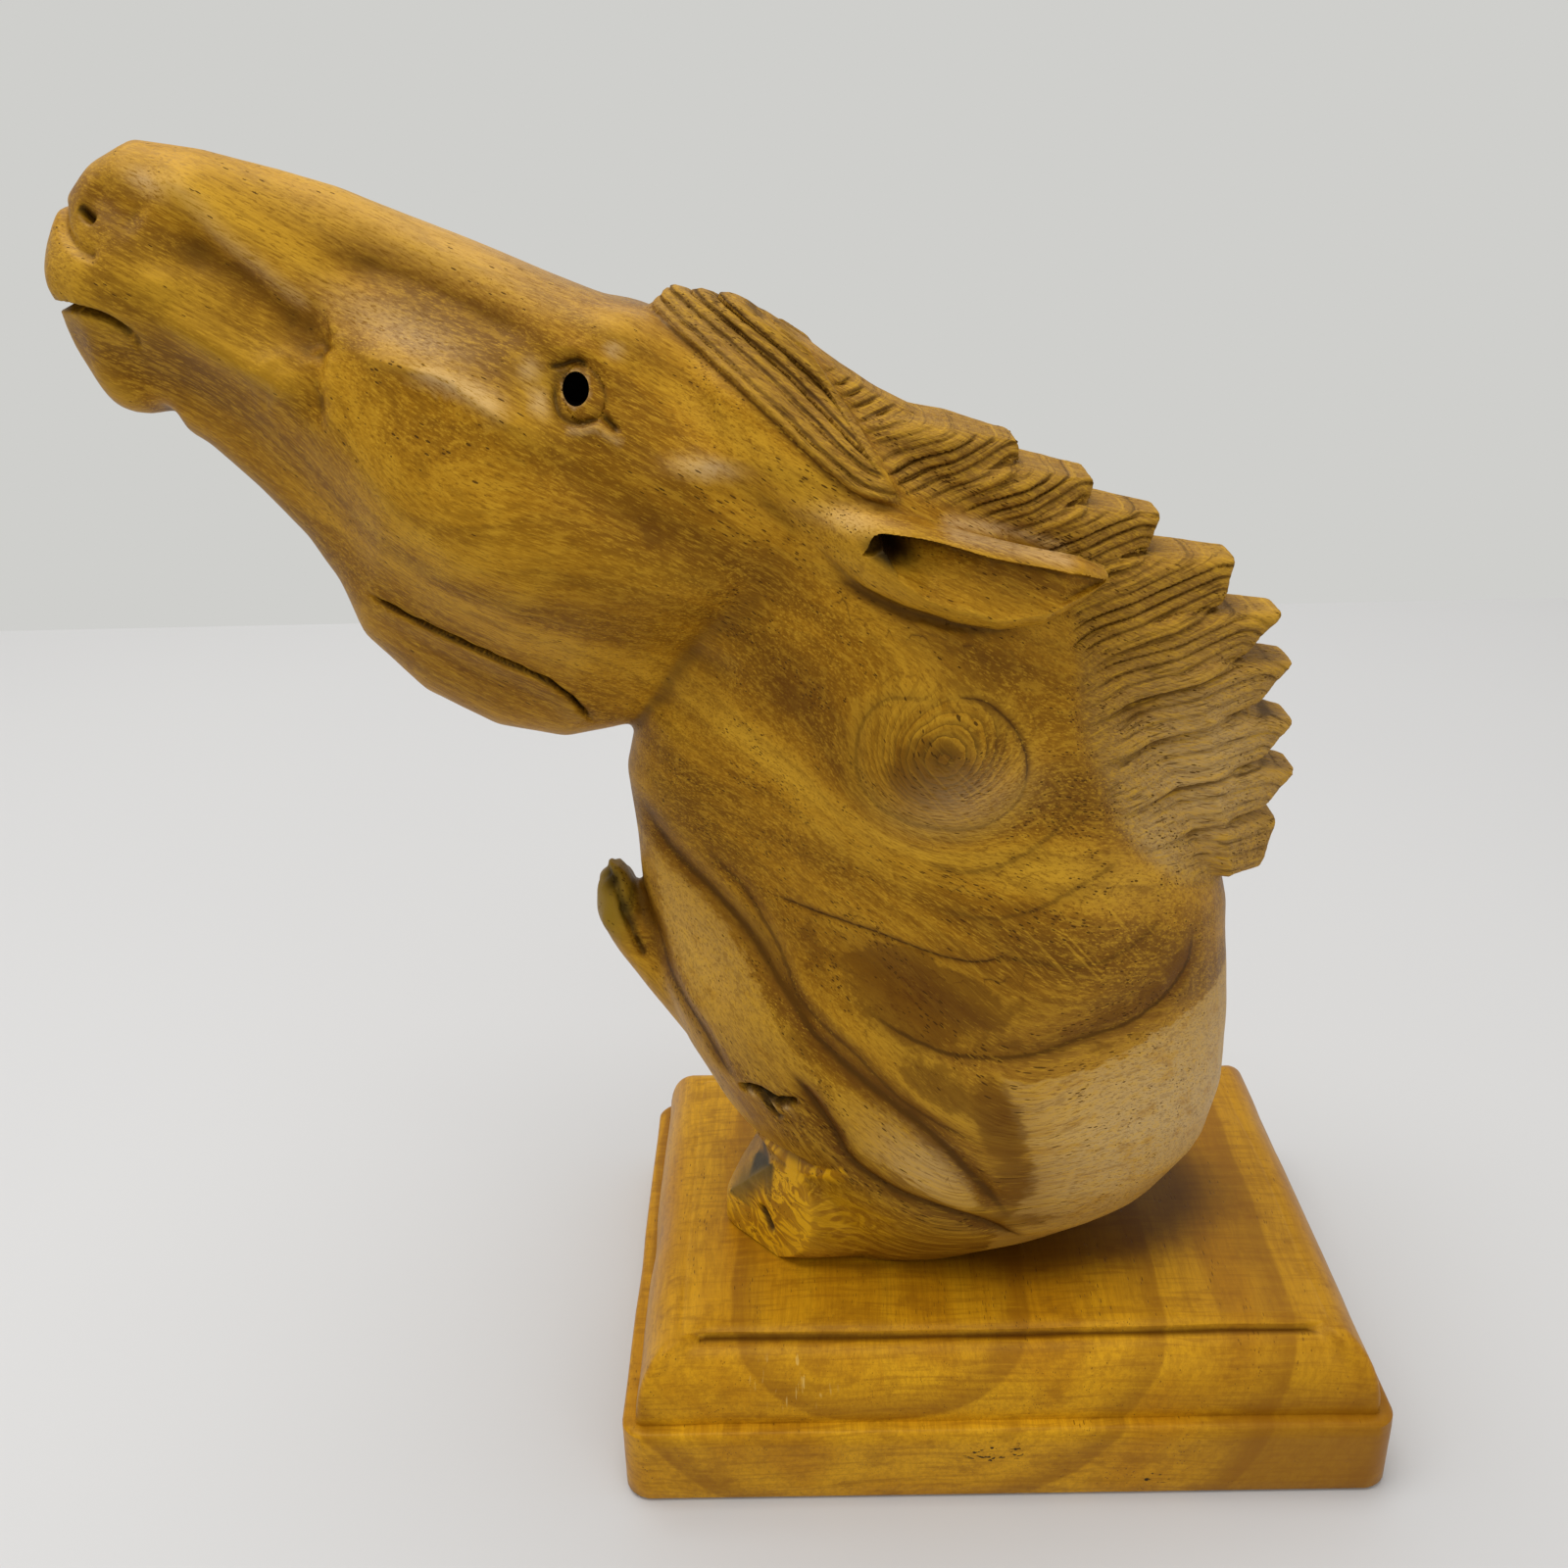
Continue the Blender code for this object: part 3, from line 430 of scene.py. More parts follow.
class Skin:
    """The carving's skin as arrays, while strokes move it."""

    def __init__(self, thing):
        self.mesh = thing.data
        count = len(self.mesh.vertices)
        places = np.empty(count * 3)
        self.mesh.vertices.foreach_get("co", places)
        self.places = places.reshape(-1, 3)
        edges = np.empty(len(self.mesh.edges) * 2, dtype=np.int64)
        self.mesh.edges.foreach_get("vertices", edges)
        self.ends = edges.reshape(-1, 2).T
        self.links = np.bincount(self.ends[0], minlength=count) + np.bincount(self.ends[1], minlength=count)
        self.settle()

    def settle(self):
        """Write the places to the mesh and take its new normals."""
        self.mesh.vertices.foreach_set("co", self.places.ravel())
        self.mesh.update()
        normals = np.empty(self.places.size)
        self.mesh.vertex_normals.foreach_get("vector", normals)
        self.normals = normals.reshape(-1, 3)

    def neighbours_mean(self, values):
        """The mean of a value over each point's neighbours."""
        a, b = self.ends
        count = len(self.places)
        return (np.bincount(a, values[b], count) + np.bincount(b, values[a], count)) / self.links

    def mean_places(self, places):
        """The mean place of each point's neighbours."""
        return np.stack([self.neighbours_mean(column) for column in places.T], axis=1)

    def relax(self, rounds, share=1.0):
        """Smooth the skin without shrinking it. share may differ from point to point."""
        for pull in RELAX_PULLS * rounds:
            offset = self.mean_places(self.places) - self.places
            self.places = self.places + (pull * offset.T * share).T
        self.settle()

    def push(self, amount, side=BOTH, straight=False):
        """Move the skin out by amount along its normals, or straight out from the middle plane."""
        if side != BOTH:
            amount = amount * (self.places[:, 1] * side > 0.0)
        if straight:
            self.places[:, 1] += np.sign(self.places[:, 1]) * amount
        else:
            self.places = self.places + self.normals * amount[:, None]

    def sideways(self):
        """How far the skin faces a side, from 0 to 1."""
        return smooth_step(0.15, 0.5, np.abs(self.normals[:, 1]))

    def hollowness(self, rounds):
        """How far each point lies under the smoothed skin, negative where it stands proud."""
        smooth = self.places
        for _ in range(rounds):
            smooth = self.mean_places(smooth)
        return np.sum((smooth - self.places) * self.normals, axis=1)


def refine(thing):
    """Halve the mesh where the finest carving goes."""
    bm = bmesh.new()
    bm.from_mesh(thing.data)
    places = np.array([vert.co for vert in bm.verts])
    chosen = np.zeros(len(places), dtype=bool)
    for centre, radii, lean in FINE_PLACES:
        chosen |= oval_distance(places, centre, radii, lean) < 1.0
    edges = [edge for edge in bm.edges if chosen[edge.verts[0].index] and chosen[edge.verts[1].index]]
    bmesh.ops.subdivide_edges(bm, edges=edges, cuts=1, use_grid_fill=True)
    bm.to_mesh(thing.data)
    bm.free()


def ridge(skin, path, width, height, side=BOTH, ends=0.25, rough=0.0, everywhere=False):
    """A soft ridge along a path, or a groove where the height is negative."""
    distance, share = along_path(skin.places, path, 4.0 * width)
    if rough:
        distance = distance + rough * drift(skin.places, 2.0, 5)
        height = height * (1.0 + rough * drift(skin.places, 1.2, 6))
    amount = height * np.exp(-(distance / width) ** 2) * fade(share, ends)
    skin.push(amount if everywhere else amount * skin.sideways(), side)


def plane_break(skin, path, width, height, side=BOTH, ends=0.25):
    """A crisp rise where two planes meet, running out over the width on both sides."""
    distance, share = along_path(skin.places, path, 5.0 * width)
    distance = np.hypot(distance, 0.3)
    skin.push(height * np.exp(-distance / width) * fade(share, ends) * skin.sideways(), side)


def shelf(skin, path, width, height, side=BOTH, ends=0.15, soft=0.6):
    """A step: the skin left of the path rises by height and runs out over the width."""
    distance, share = along_path(skin.places, path, width)
    amount = height * smooth_step(-soft, soft, distance) * (1.0 - smooth_step(0.0, width, distance))
    skin.push(amount * fade(share, ends) * skin.sideways(), side)


def soften(skin, centre, radii, lean, rounds):
    """Smooth a crease away inside a soft oval in side view."""
    share = patch(skin.places, centre, radii, lean)
    for _ in range(rounds):
        offset = skin.mean_places(skin.places) - skin.places
        skin.places = skin.places + offset * share[:, None]
    skin.settle()


def swell(skin, centre, radii, height, lean=0.0, side=BOTH, everywhere=False):
    """A soft oval rise round a point in side view, or a hollow where the height is negative."""
    amount = height * spot(skin.places, centre, radii, lean)
    skin.push(amount if everywhere else amount * skin.sideways(), side)


# Lines of the face, read on the near side and carved on both

NOSE_SIDE = [(-124.0, 210.5), (-118.2, 209.1), (-115.1, 206.3), (-111.8, 202.0), (-105.3, 196.4),
             (-100.1, 191.8)]
NOSE_HOLLOW = [(-123.0, 202.5), (-119.5, 201.6), (-113.4, 199.5), (-107.1, 195.5), (-102.6, 189.4),
               (-101.0, 184.0)]
MOUTH_RIDGE = [(-124.0, 192.6), (-118.8, 190.8), (-112.1, 186.3), (-104.4, 182.1), (-100.8, 178.6)]
CHEEK_EDGE = [(-98.8, 194.5), (-98.6, 191.0), (-98.0, 187.5), (-99.4, 184.3), (-99.3, 179.8), (-100.5, 175.0)]
CREST_OF_CHEEK = [(-97.9, 187.8), (-89.1, 184.9), (-81.6, 183.0), (-77.5, 180.2), (-70.9, 175.6),
                  (-65.2, 170.7)]
NOSE_CHANNEL = [(-101.0, 199.5), (-92.0, 198.2), (-83.8, 195.3), (-77.2, 191.8), (-72.8, 189.7),
                (-68.6, 187.4), (-66.6, 185.6)]
TEMPLE_RIDGE = [(-52.0, 168.6), (-48.5, 170.0), (-42.5, 171.0), (-36.0, 170.5), (-28.0, 167.5)]
TEMPLE_UNDERCUT = [(-53.5, 166.0), (-49.5, 166.6), (-43.0, 166.0), (-36.0, 163.0), (-29.0, 159.5)]
CHEEK_VALLEY = [(-71.0, 176.5), (-65.3, 170.3), (-56.7, 164.0), (-48.2, 159.6), (-38.0, 155.0),
                (-30.0, 151.0)]
JAW_CREASE = [(-44.6, 142.1), (-45.4, 138.9), (-46.9, 134.9), (-49.7, 131.0), (-54.0, 126.5)]
MOUTH = [(-142.0, 193.6), (-136.0, 193.6), (-132.5, 193.1), (-129.3, 191.9), (-126.6, 189.7)]
MOUTH_CORNER = [(-127.2, 190.6), (-126.4, 189.0), (-126.8, 187.0)]
NOSTRIL = [(-132.2, 206.9), (-131.0, 205.8), (-129.6, 204.8)]
NOSTRIL_SHADE = [(-131.4, 209.4), (-127.5, 207.7), (-122.5, 204.3)]
NOSTRIL_WING = [(-138.5, 208.6), (-135.6, 206.6), (-134.9, 204.0), (-132.8, 201.8), (-129.0, 200.3)]
EYE = (-62.4, 180.6)
EYE_RADII = (3.0, 3.9)
EYE_LEAN = 20.0
LID_FOLD = [(-67.7, 184.0), (-66.5, 184.3), (-65.0, 184.5), (-63.3, 184.8), (-61.5, 183.8)]
LID_EDGE = [(-61.6, 184.0), (-60.3, 182.4), (-59.4, 180.4), (-59.1, 178.4)]
UPPER_LID = [(-68.0, 186.0), (-65.6, 186.6), (-62.0, 186.2), (-59.4, 184.2), (-57.9, 181.2), (-57.4, 178.6)]
UNDER_EYE = [(-66.2, 182.6), (-66.5, 180.2), (-65.5, 177.8), (-63.3, 176.7), (-61.6, 176.9), (-59.8, 177.8)]
LOWER_LID = [(-65.4, 176.0), (-62.8, 175.7), (-60.9, 176.0), (-59.0, 175.0), (-56.6, 173.6)]
REAR_CORNER = [(-60.2, 178.0), (-58.9, 176.9), (-57.2, 175.1)]
PUPIL = (-63.55, 181.2)
PUPIL_RADII = (1.95, 2.25)
PUPIL_FLOOR = 10.5
PUPIL_SIDES = 40
PUPIL_RIM = 1.004
EAR_BRIM = [(-22.3, 159.8), (-20.5, 161.6), (-13.0, 160.8), (-3.0, 157.9), (7.0, 154.8), (12.4, 152.4)]
INNER_EAR = 15.0
EAR_CREASE = [(-27.0, 154.2), (-24.0, 152.6), (-19.2, 150.2), (-11.8, 147.8), (-4.0, 145.2)]

# Lines of the mane and forelock, on both sides

FORELOCK_EDGE = [(-54.0, 191.3), (-52.0, 189.8), (-50.0, 188.2), (-44.9, 184.2), (-38.3, 178.9),
                 (-32.5, 173.6), (-28.0, 169.4), (-23.5, 166.0), (-17.1, 163.6)]
MANE_BORDER = [(-36.0, 192.5), (-30.2, 184.2), (-25.1, 176.8), (-21.5, 171.5), (-17.3, 165.2), (-8.0, 161.5),
               (2.0, 156.0), (7.8, 149.5), (8.9, 141.4), (9.6, 132.0), (10.8, 125.8), (13.6, 119.3),
               (16.6, 112.8), (22.2, 105.7), (30.0, 99.5), (39.0, 95.5)]
OVERLAP = MANE_BORDER[:5]
NECK_SHOULDER = MANE_BORDER[8:]
MOUTH_HALF_OPENING = 0.56
FORELOCK_PITCH = 1.9
FORELOCK_DEPTH = 0.7
MANE_PITCHES = (1.8, 1.8, 1.8, 1.9, 2.1, 2.4, 2.7, 2.8, 2.8)
MANE_DEPTHS = (0.55, 0.55, 0.5, 0.5, 0.38, 0.24, 0.18, 0.16, 0.16)
LOCK_REACH = 15.0
MANE_REACH = 70.0
LOW_LOCKS = 140.0
EAR_FOOT = 143.0
STRAND_DRAWS = 64

# Lines of the root wood, on the near side only

BARK_BAND = [(-59.0, 115.6), (-55.6, 108.0), (-48.0, 101.4), (-42.0, 95.2), (-36.0, 86.5), (-30.5, 79.0),
             (-22.5, 71.5), (-13.0, 63.5), (-5.9, 55.0), (2.0, 44.0)]
BARK_BAND_TWIN = [(-49.5, 110.5), (-46.0, 106.4), (-41.8, 102.2), (-38.3, 96.2), (-35.7, 91.0), (-33.6, 85.3),
                  (-29.5, 81.5), (-24.7, 77.4), (-17.9, 69.8), (-11.5, 65.3), (-2.9, 61.1)]
LEFT_BAND = [(-60.2, 100.0), (-59.6, 95.0), (-57.2, 89.7), (-55.5, 83.8), (-53.1, 79.9), (-49.4, 74.6),
             (-46.7, 69.5), (-43.9, 66.6)]
LOBE_CREASE = [(-36.0, 73.0), (-33.1, 70.0), (-28.4, 62.4), (-24.8, 55.3), (-17.7, 50.1), (-10.7, 47.2),
               (-3.6, 44.0), (5.0, 38.5)]
APRON = [(-30.0, 103.0), (-23.3, 94.5), (-11.2, 83.5), (-0.8, 78.5), (13.9, 80.0), (28.0, 84.0)]
FOLD = [(-24.0, 86.0), (-15.8, 80.6), (-7.9, 77.2), (2.5, 76.4), (11.7, 78.3), (19.6, 79.9), (26.5, 83.4),
        (30.5, 88.0), (31.0, 94.0)]
HAIRLINE = [(-38.5, 102.6), (-34.1, 101.6), (-27.9, 100.1), (-19.3, 97.9), (-10.5, 94.9), (-4.3, 93.8),
            (0.5, 95.4)]
KNOT = (-11.0, 126.5)
HEART = [(-11.4, 134.4), (-12.0, 135.9), (-14.2, 136.6), (-19.3, 136.6), (-22.9, 133.3), (-24.2, 128.1),
         (-23.4, 123.0), (-20.1, 119.3), (-15.1, 117.2), (-9.6, 116.2), (-3.8, 116.5), (0.5, 119.4),
         (2.1, 124.5), (0.9, 129.2), (-2.3, 133.2), (-6.7, 136.1), (-10.4, 136.5), (-11.2, 135.6)]
KNOT_LOBE = [(-9.5, 136.6), (-5.4, 135.6), (-2.3, 133.2), (0.3, 129.8), (1.9, 125.6), (1.6, 121.5)]
BEIGE_EDGE = [(-2.0, 36.0), (-0.4, 42.7), (2.5, 48.9), (3.6, 57.6), (1.7, 61.7), (-0.1, 68.3), (-2.4, 74.2),
              (3.2, 72.4), (9.9, 73.2), (16.9, 74.5), (24.0, 77.5), (31.9, 79.3), (44.0, 83.0)]
PALE_LOBE = [(-28.5, 70.0), (-27.9, 71.9), (-22.5, 68.8), (-15.6, 65.9), (-9.2, 60.9), (-4.7, 50.2),
             (-6.5, 47.2), (-12.3, 50.4), (-18.8, 55.5), (-24.7, 59.3), (-27.9, 65.7), (-28.5, 70.0)]
PALE_STRIP = [(-57.5, 106.0), (-52.0, 102.5), (-45.5, 96.0), (-40.5, 87.5), (-35.8, 79.0), (-31.0, 72.5),
              (-34.0, 69.0), (-41.0, 68.8), (-46.5, 73.0), (-51.0, 81.0), (-55.0, 90.0), (-57.5, 106.0)]
KNOT_GLEAM = [(-37.0, 119.5), (-31.0, 116.0), (-25.0, 112.5), (-18.0, 109.0), (-10.0, 107.0)]
KNOT_ARCS = [[(-13.7, 111.1), (-7.6, 109.2), (-0.7, 110.0), (6.4, 113.4), (12.0, 118.6)],
             [(-12.0, 103.5), (-5.2, 101.4), (2.6, 101.6), (10.5, 104.1), (18.0, 107.4)],
             [(-3.5, 95.0), (4.3, 92.7), (12.4, 91.3), (19.1, 92.6), (26.0, 96.5)]]
KNOB_GROOVE = [(-64.6, 98.0), (-64.0, 95.0), (-62.9, 91.6), (-61.4, 88.0), (-59.6, 84.0)]
TOE_FACES = [((-36.2, -19.2, 41.0), (-0.72, -0.67, 0.10)), ((-42.2, -10.0, 42.0), (-0.84, -0.12, 0.53))]
TOE_TOPS = (52.0, 46.0)
TOE_EDGES = (0.22, 0.5)
TOE_LIMITS = (-26.0, 4.0, 53.0)
DARK_TOE_LIMITS = (-37.0, -8.5, 45.5)
CRACK = [(-44.2, 65.9), (-43.0, 66.3), (-41.5, 66.9), (-40.2, 66.7), (-38.4, 65.8), (-37.0, 65.6),
         (-35.6, 66.6), (-34.0, 66.0)]
CRACK_BRANCH = [(-40.4, 66.6), (-39.3, 64.6), (-37.9, 63.0), (-36.6, 62.0)]
TOE_HOLE = [(-41.4, 36.6), (-40.3, 34.3), (-39.0, 32.0)]
JAW_CRACK = [(-99.0, 150.4), (-96.2, 149.0), (-90.3, 146.0), (-84.4, 143.1), (-78.6, 140.2), (-72.9, 137.0),
             (-68.4, 132.9), (-65.3, 126.8)]


def carve_masses(skin):
    """The planes and hollows of the face, alike on both sides, and the folds of the root wood."""
    swell(skin, centre=(-113.0, 192.5), radii=(9.0, 5.0), height=-1.3, lean=-27.0)
    ridge(skin, NOSE_HOLLOW, width=4.2, height=-1.7)
    shelf(skin, CHEEK_EDGE[::-1], width=9.0, height=-1.2, ends=0.3, soft=1.2)
    ridge(skin, NOSE_SIDE, width=3.2, height=1.0)
    ridge(skin, MOUTH_RIDGE, width=2.8, height=0.9)
    ridge(skin, CREST_OF_CHEEK, width=4.2, height=1.0)
    ridge(skin, NOSE_CHANNEL, width=3.6, height=-1.7)
    swell(skin, centre=(-75.0, 156.5), radii=(19.0, 17.0), height=1.4)
    ridge(skin, CHEEK_VALLEY, width=4.5, height=-1.0)
    ridge(skin, TEMPLE_RIDGE, width=4.2, height=0.7)
    swell(skin, centre=(-50.0, 181.0), radii=(6.5, 4.5), height=-1.2, lean=-35.0)
    skin.settle()
    swell(skin, centre=(-65.0, 182.6), radii=(6.0, 5.2), height=-1.9, lean=-15.0)
    swell(skin, centre=(-57.5, 188.3), radii=(6.0, 3.2), height=1.4, lean=-20.0)
    swell(skin, centre=(-137.0, 198.5), radii=(4.0, 5.0), height=0.8)
    swell(skin, centre=(-133.0, 183.0), radii=(4.0, 4.5), height=0.8)
    swell(skin, centre=(-131.0, 179.0), radii=(3.0, 3.0), height=0.8, everywhere=True)
    swell(skin, centre=(-140.4, 193.4), radii=(2.4, 1.8), height=-1.3, everywhere=True)
    swell(skin, centre=(-31.0, 160.5), radii=(7.0, 5.5), height=1.4)
    skin.settle()
    soften(skin, centre=(-36.0, 148.0), radii=(13.0, 7.0), lean=55.0, rounds=40)
    ridge(skin, JAW_CREASE, width=4.0, height=-1.2)
    skin.settle()
    ridge(skin, BARK_BAND, width=2.4, height=-0.9, side=NEAR, ends=0.1)
    ridge(skin, LOBE_CREASE, width=2.2, height=-1.2, side=NEAR, ends=0.15)
    ridge(skin, APRON, width=4.0, height=-1.2, side=NEAR)
    swell(skin, centre=KNOT, radii=(12.0, 11.0), height=1.0, side=NEAR)
    skin.settle()


def carve_muzzle(skin):
    """Lips, nostrils and the planes round them."""
    distance, share = along_path(skin.places, MOUTH, reach=6.0)
    depth = np.interp(share, (0.0, 0.3, 0.85, 1.0), (4.2, 4.0, 2.4, 0.0))
    skin.push(-depth * np.exp(-(distance / MOUTH_HALF_OPENING) ** 4))
    skin.settle()
    ridge(skin, MOUTH_CORNER, width=0.6, height=-0.6, ends=0.4)
    ridge(skin, NOSTRIL_SHADE, width=2.6, height=-0.8)
    ridge(skin, NOSTRIL_WING, width=0.9, height=-0.9, ends=0.12, everywhere=True)
    ridge(skin, NOSE_HOLLOW, width=2.6, height=-0.5)
    plane_break(skin, NOSE_SIDE, width=2.4, height=0.9)
    plane_break(skin, MOUTH_RIDGE, width=1.8, height=0.9, ends=0.35)
    swell(skin, centre=(-120.9, 196.6), radii=(3.6, 1.9), height=0.7, lean=-8.0)
    swell(skin, centre=(-126.6, 176.0), radii=(1.8, 2.6), height=-1.6, everywhere=True)
    skin.settle()
    ridge(skin, NOSTRIL, width=0.6, height=-1.8, ends=0.35)
    skin.settle()


def carve_cheek(skin):
    """The crest of the cheek, its torn front edge, the temple and the jaw crack."""
    plane_break(skin, CREST_OF_CHEEK, width=2.6, height=1.0)
    shelf(skin, CREST_OF_CHEEK, width=7.0, height=0.6, ends=0.3, soft=0.5)
    distance, share = along_path(skin.places, CHEEK_EDGE, reach=8.0)
    distance = distance + 0.5 * drift(skin.places, 1.6, 21)
    torn = np.exp(-(distance / 2.2) ** 2) * fade(share, 0.2) * skin.sideways()
    skin.push(0.32 * torn * drift(skin.places, (1.3, 1.3, 0.9), 22))
    chatter = spot(skin.places, (-105.0, 184.5), (7.5, 4.0), 60.0) * skin.sideways()
    skin.push(0.3 * chatter * drift(fibre_places(skin.places), (1.4, 2.4, 2.4), 23))
    skin.push(0.4 * smooth_step(-0.5, 0.5, distance) * (1.0 - smooth_step(0.0, 4.0, distance))
              * fade(share, 0.3) * skin.sideways())
    plane_break(skin, TEMPLE_RIDGE, width=2.2, height=0.6)
    ridge(skin, TEMPLE_UNDERCUT, width=3.0, height=-0.4)
    ridge(skin, CHEEK_VALLEY, width=2.4, height=-0.3)
    skin.settle()
    shelf(skin, JAW_CRACK[::-1], width=4.5, height=0.6, side=NEAR, ends=0.12, soft=0.3)
    ridge(skin, JAW_CRACK, width=0.3, height=-1.3, side=NEAR, ends=0.12, rough=0.3)
    skin.settle()


def carve_eyes(skin):
    """An eyeball between two lids in each socket."""
    ridge(skin, NOSE_CHANNEL, width=1.6, height=-0.4)
    swell(skin, centre=(-57.7, 187.9), radii=(5.0, 2.8), height=0.4, lean=-25.0)
    skin.settle()
    away = oval_distance(skin.places, EYE, EYE_RADII, EYE_LEAN)
    ball = np.sqrt(np.clip(1.0 - away ** 2, 0.0, 1.0))
    skin.push((1.0 * ball - 0.5 * (away < 1.0)) * skin.sideways())
    skin.settle()
    ridge(skin, LID_FOLD, width=0.5, height=-0.8, ends=0.25, rough=0.3)
    ridge(skin, UNDER_EYE, width=0.5, height=-0.7, ends=0.2)
    ridge(skin, REAR_CORNER, width=0.5, height=-0.8, ends=0.3)
    ridge(skin, UPPER_LID, width=1.1, height=0.5, ends=0.3)
    ridge(skin, LID_EDGE, width=0.35, height=0.25, ends=0.2)
    ridge(skin, LOWER_LID, width=0.7, height=0.6, ends=0.3)
    skin.settle()


def hollow_ears(skin):
    """Scoop both ears out, steep under the brim and deepest near the root."""
    distance, share = along_path(skin.places, EAR_BRIM, reach=14.0)
    width = np.interp(share, (0.0, 0.08, 0.3, 0.6, 0.85, 1.0), (1.2, 4.4, 7.6, 8.0, 5.0, 0.8))
    depth = np.interp(share, (0.0, 0.1, 0.2, 0.35, 0.75, 1.0), (0.5, 10.5, 9.0, 5.8, 3.6, 0.0))
    lip = np.interp(share, (0.0, 0.15, 0.5, 0.85, 1.0), (22.0, 24.6, 25.4, 21.5, 17.0))
    under = -distance / width
    bowl = smooth_step(0.0, 0.2, under) * np.clip(1.0 - under, 0.0, 1.0) ** 0.8
    allowed = lip - depth * bowl + 8.0 * np.clip(under - 1.0, 0.0, None)
    thickness = np.abs(skin.places[:, 1])
    ear = (distance < OUT_OF_REACH) & (under > 0.0) & (thickness > INNER_EAR)
    skin.push(-np.clip(thickness - allowed, 0.0, None) * ear, straight=True)
    skin.settle()
    ridge(skin, EAR_CREASE, width=1.0, height=-0.8, ends=0.25)
    skin.settle()


def mane_share(skin):
    """1 on the mane and 0 on the neck, the forelock and the ears, and the same for the forelock."""
    distance, _ = along_path(skin.places, MANE_BORDER, MANE_REACH)
    past_border = np.where(distance < OUT_OF_REACH, distance, -OUT_OF_REACH)
    _, y, z = skin.places.T
    off_ear = 1.0 - smooth_step(INNER_EAR, INNER_EAR + 2.0, np.abs(y)) * (z > EAR_FOOT)
    mane = smooth_step(-0.5, 2.5, past_border) * off_ear
    edge, along_edge = along_path(skin.places, FORELOCK_EDGE, reach=30.0)
    edge = np.where(edge < OUT_OF_REACH, edge, -OUT_OF_REACH)
    forelock = smooth_step(0.0, 0.8, edge) * smooth_step(-0.6, 0.6, -past_border) * fade(along_edge, 0.03)
    return mane, forelock, edge


def count_strands(skin):
    """How many strands each point lies from its lock's edge, and how deep the cuts are there."""
    mane, forelock, edge = mane_share(skin)
    into_mane, _ = along_path(skin.places, NECK_SHOULDER, MANE_REACH)
    soft_start = np.where(skin.places[:, 2] < LOW_LOCKS, smooth_step(0.0, 9.0, into_mane), 1.0)
    wobble = 0.12 * drift(skin.places, 9.0, 31) + 0.04 * drift(skin.places, 1.8, 32)
    strands = (edge + wobble) / FORELOCK_PITCH
    depth = FORELOCK_DEPTH * forelock
    free = mane > 0.0
    for number, (lock, pitch, lock_depth) in enumerate(zip(LOCKS, MANE_PITCHES, MANE_DEPTHS)):
        distance, _ = along_path(skin.places, lower_edge(lock), LOCK_REACH)
        inside = free & (distance > -0.2) & (distance < OUT_OF_REACH)
        free &= ~inside
        strands[inside] = ((distance + wobble) / pitch + 0.17 * number)[inside]
        cut = lock_depth * mane * soft_start * smooth_step(0.2, 1.2, distance) * skin.sideways()
        depth[inside] = cut[inside]
    draws = np.random.default_rng(35).uniform(0.45, 1.3, STRAND_DRAWS)
    own = draws[np.floor(strands).astype(int) % STRAND_DRAWS]
    return strands, depth * own * (1.0 + 0.3 * drift(skin.places, 5.0, 34))


def comb_mane(skin):
    """Chiselled strands in the forelock and in each lock."""
    shelf(skin, FORELOCK_EDGE, width=7.0, height=1.1, ends=0.06, soft=0.35)
    shelf(skin, OVERLAP[::-1], width=8.0, height=0.9, ends=0.1, soft=0.35)
    shelf(skin, NECK_SHOULDER[::-1], width=7.0, height=0.7, ends=0.25, soft=1.6)
    skin.settle()
    mane, forelock, _ = mane_share(skin)
    facing = skin.sideways()
    for lock in LOCKS:
        distance, _ = along_path(skin.places, lower_edge(lock), LOCK_REACH)
        overlap = smooth_step(-0.25, 0.25, distance) * (1.0 - smooth_step(0.5, 6.0, distance))
        shade = np.exp(-((distance + 0.6) / 0.6) ** 2)
        start = smooth_step(0.0, 10.0, along_path(skin.places, MANE_BORDER, MANE_REACH)[0])
        skin.push((0.8 * overlap - 0.4 * shade) * mane * facing * start)
    skin.settle()
    strands, depth = count_strands(skin)
    across = strands - np.floor(strands)
    notch = np.clip(1.0 - np.minimum(across, 1.0 - across) / 0.3, 0.0, 1.0)
    skin.push(-depth * (0.6 * notch + 0.6 * across))
    skin.settle()
    grain = fibre_places(skin.places, GRAIN_SWIRL)
    chips = 0.10 * drift(grain, (3.6, 0.6, 0.6), 41) + 0.06 * drift(grain, (1.3, 0.5, 0.5), 42)
    skin.push(chips * np.maximum(0.4 * mane, forelock))
    skin.settle()


def beyond_face(places, face):
    """How far each point stands out of a toe's flat face."""
    point, normal = face
    normal = np.array(normal) / np.linalg.norm(normal)
    return (places - point) @ normal, normal


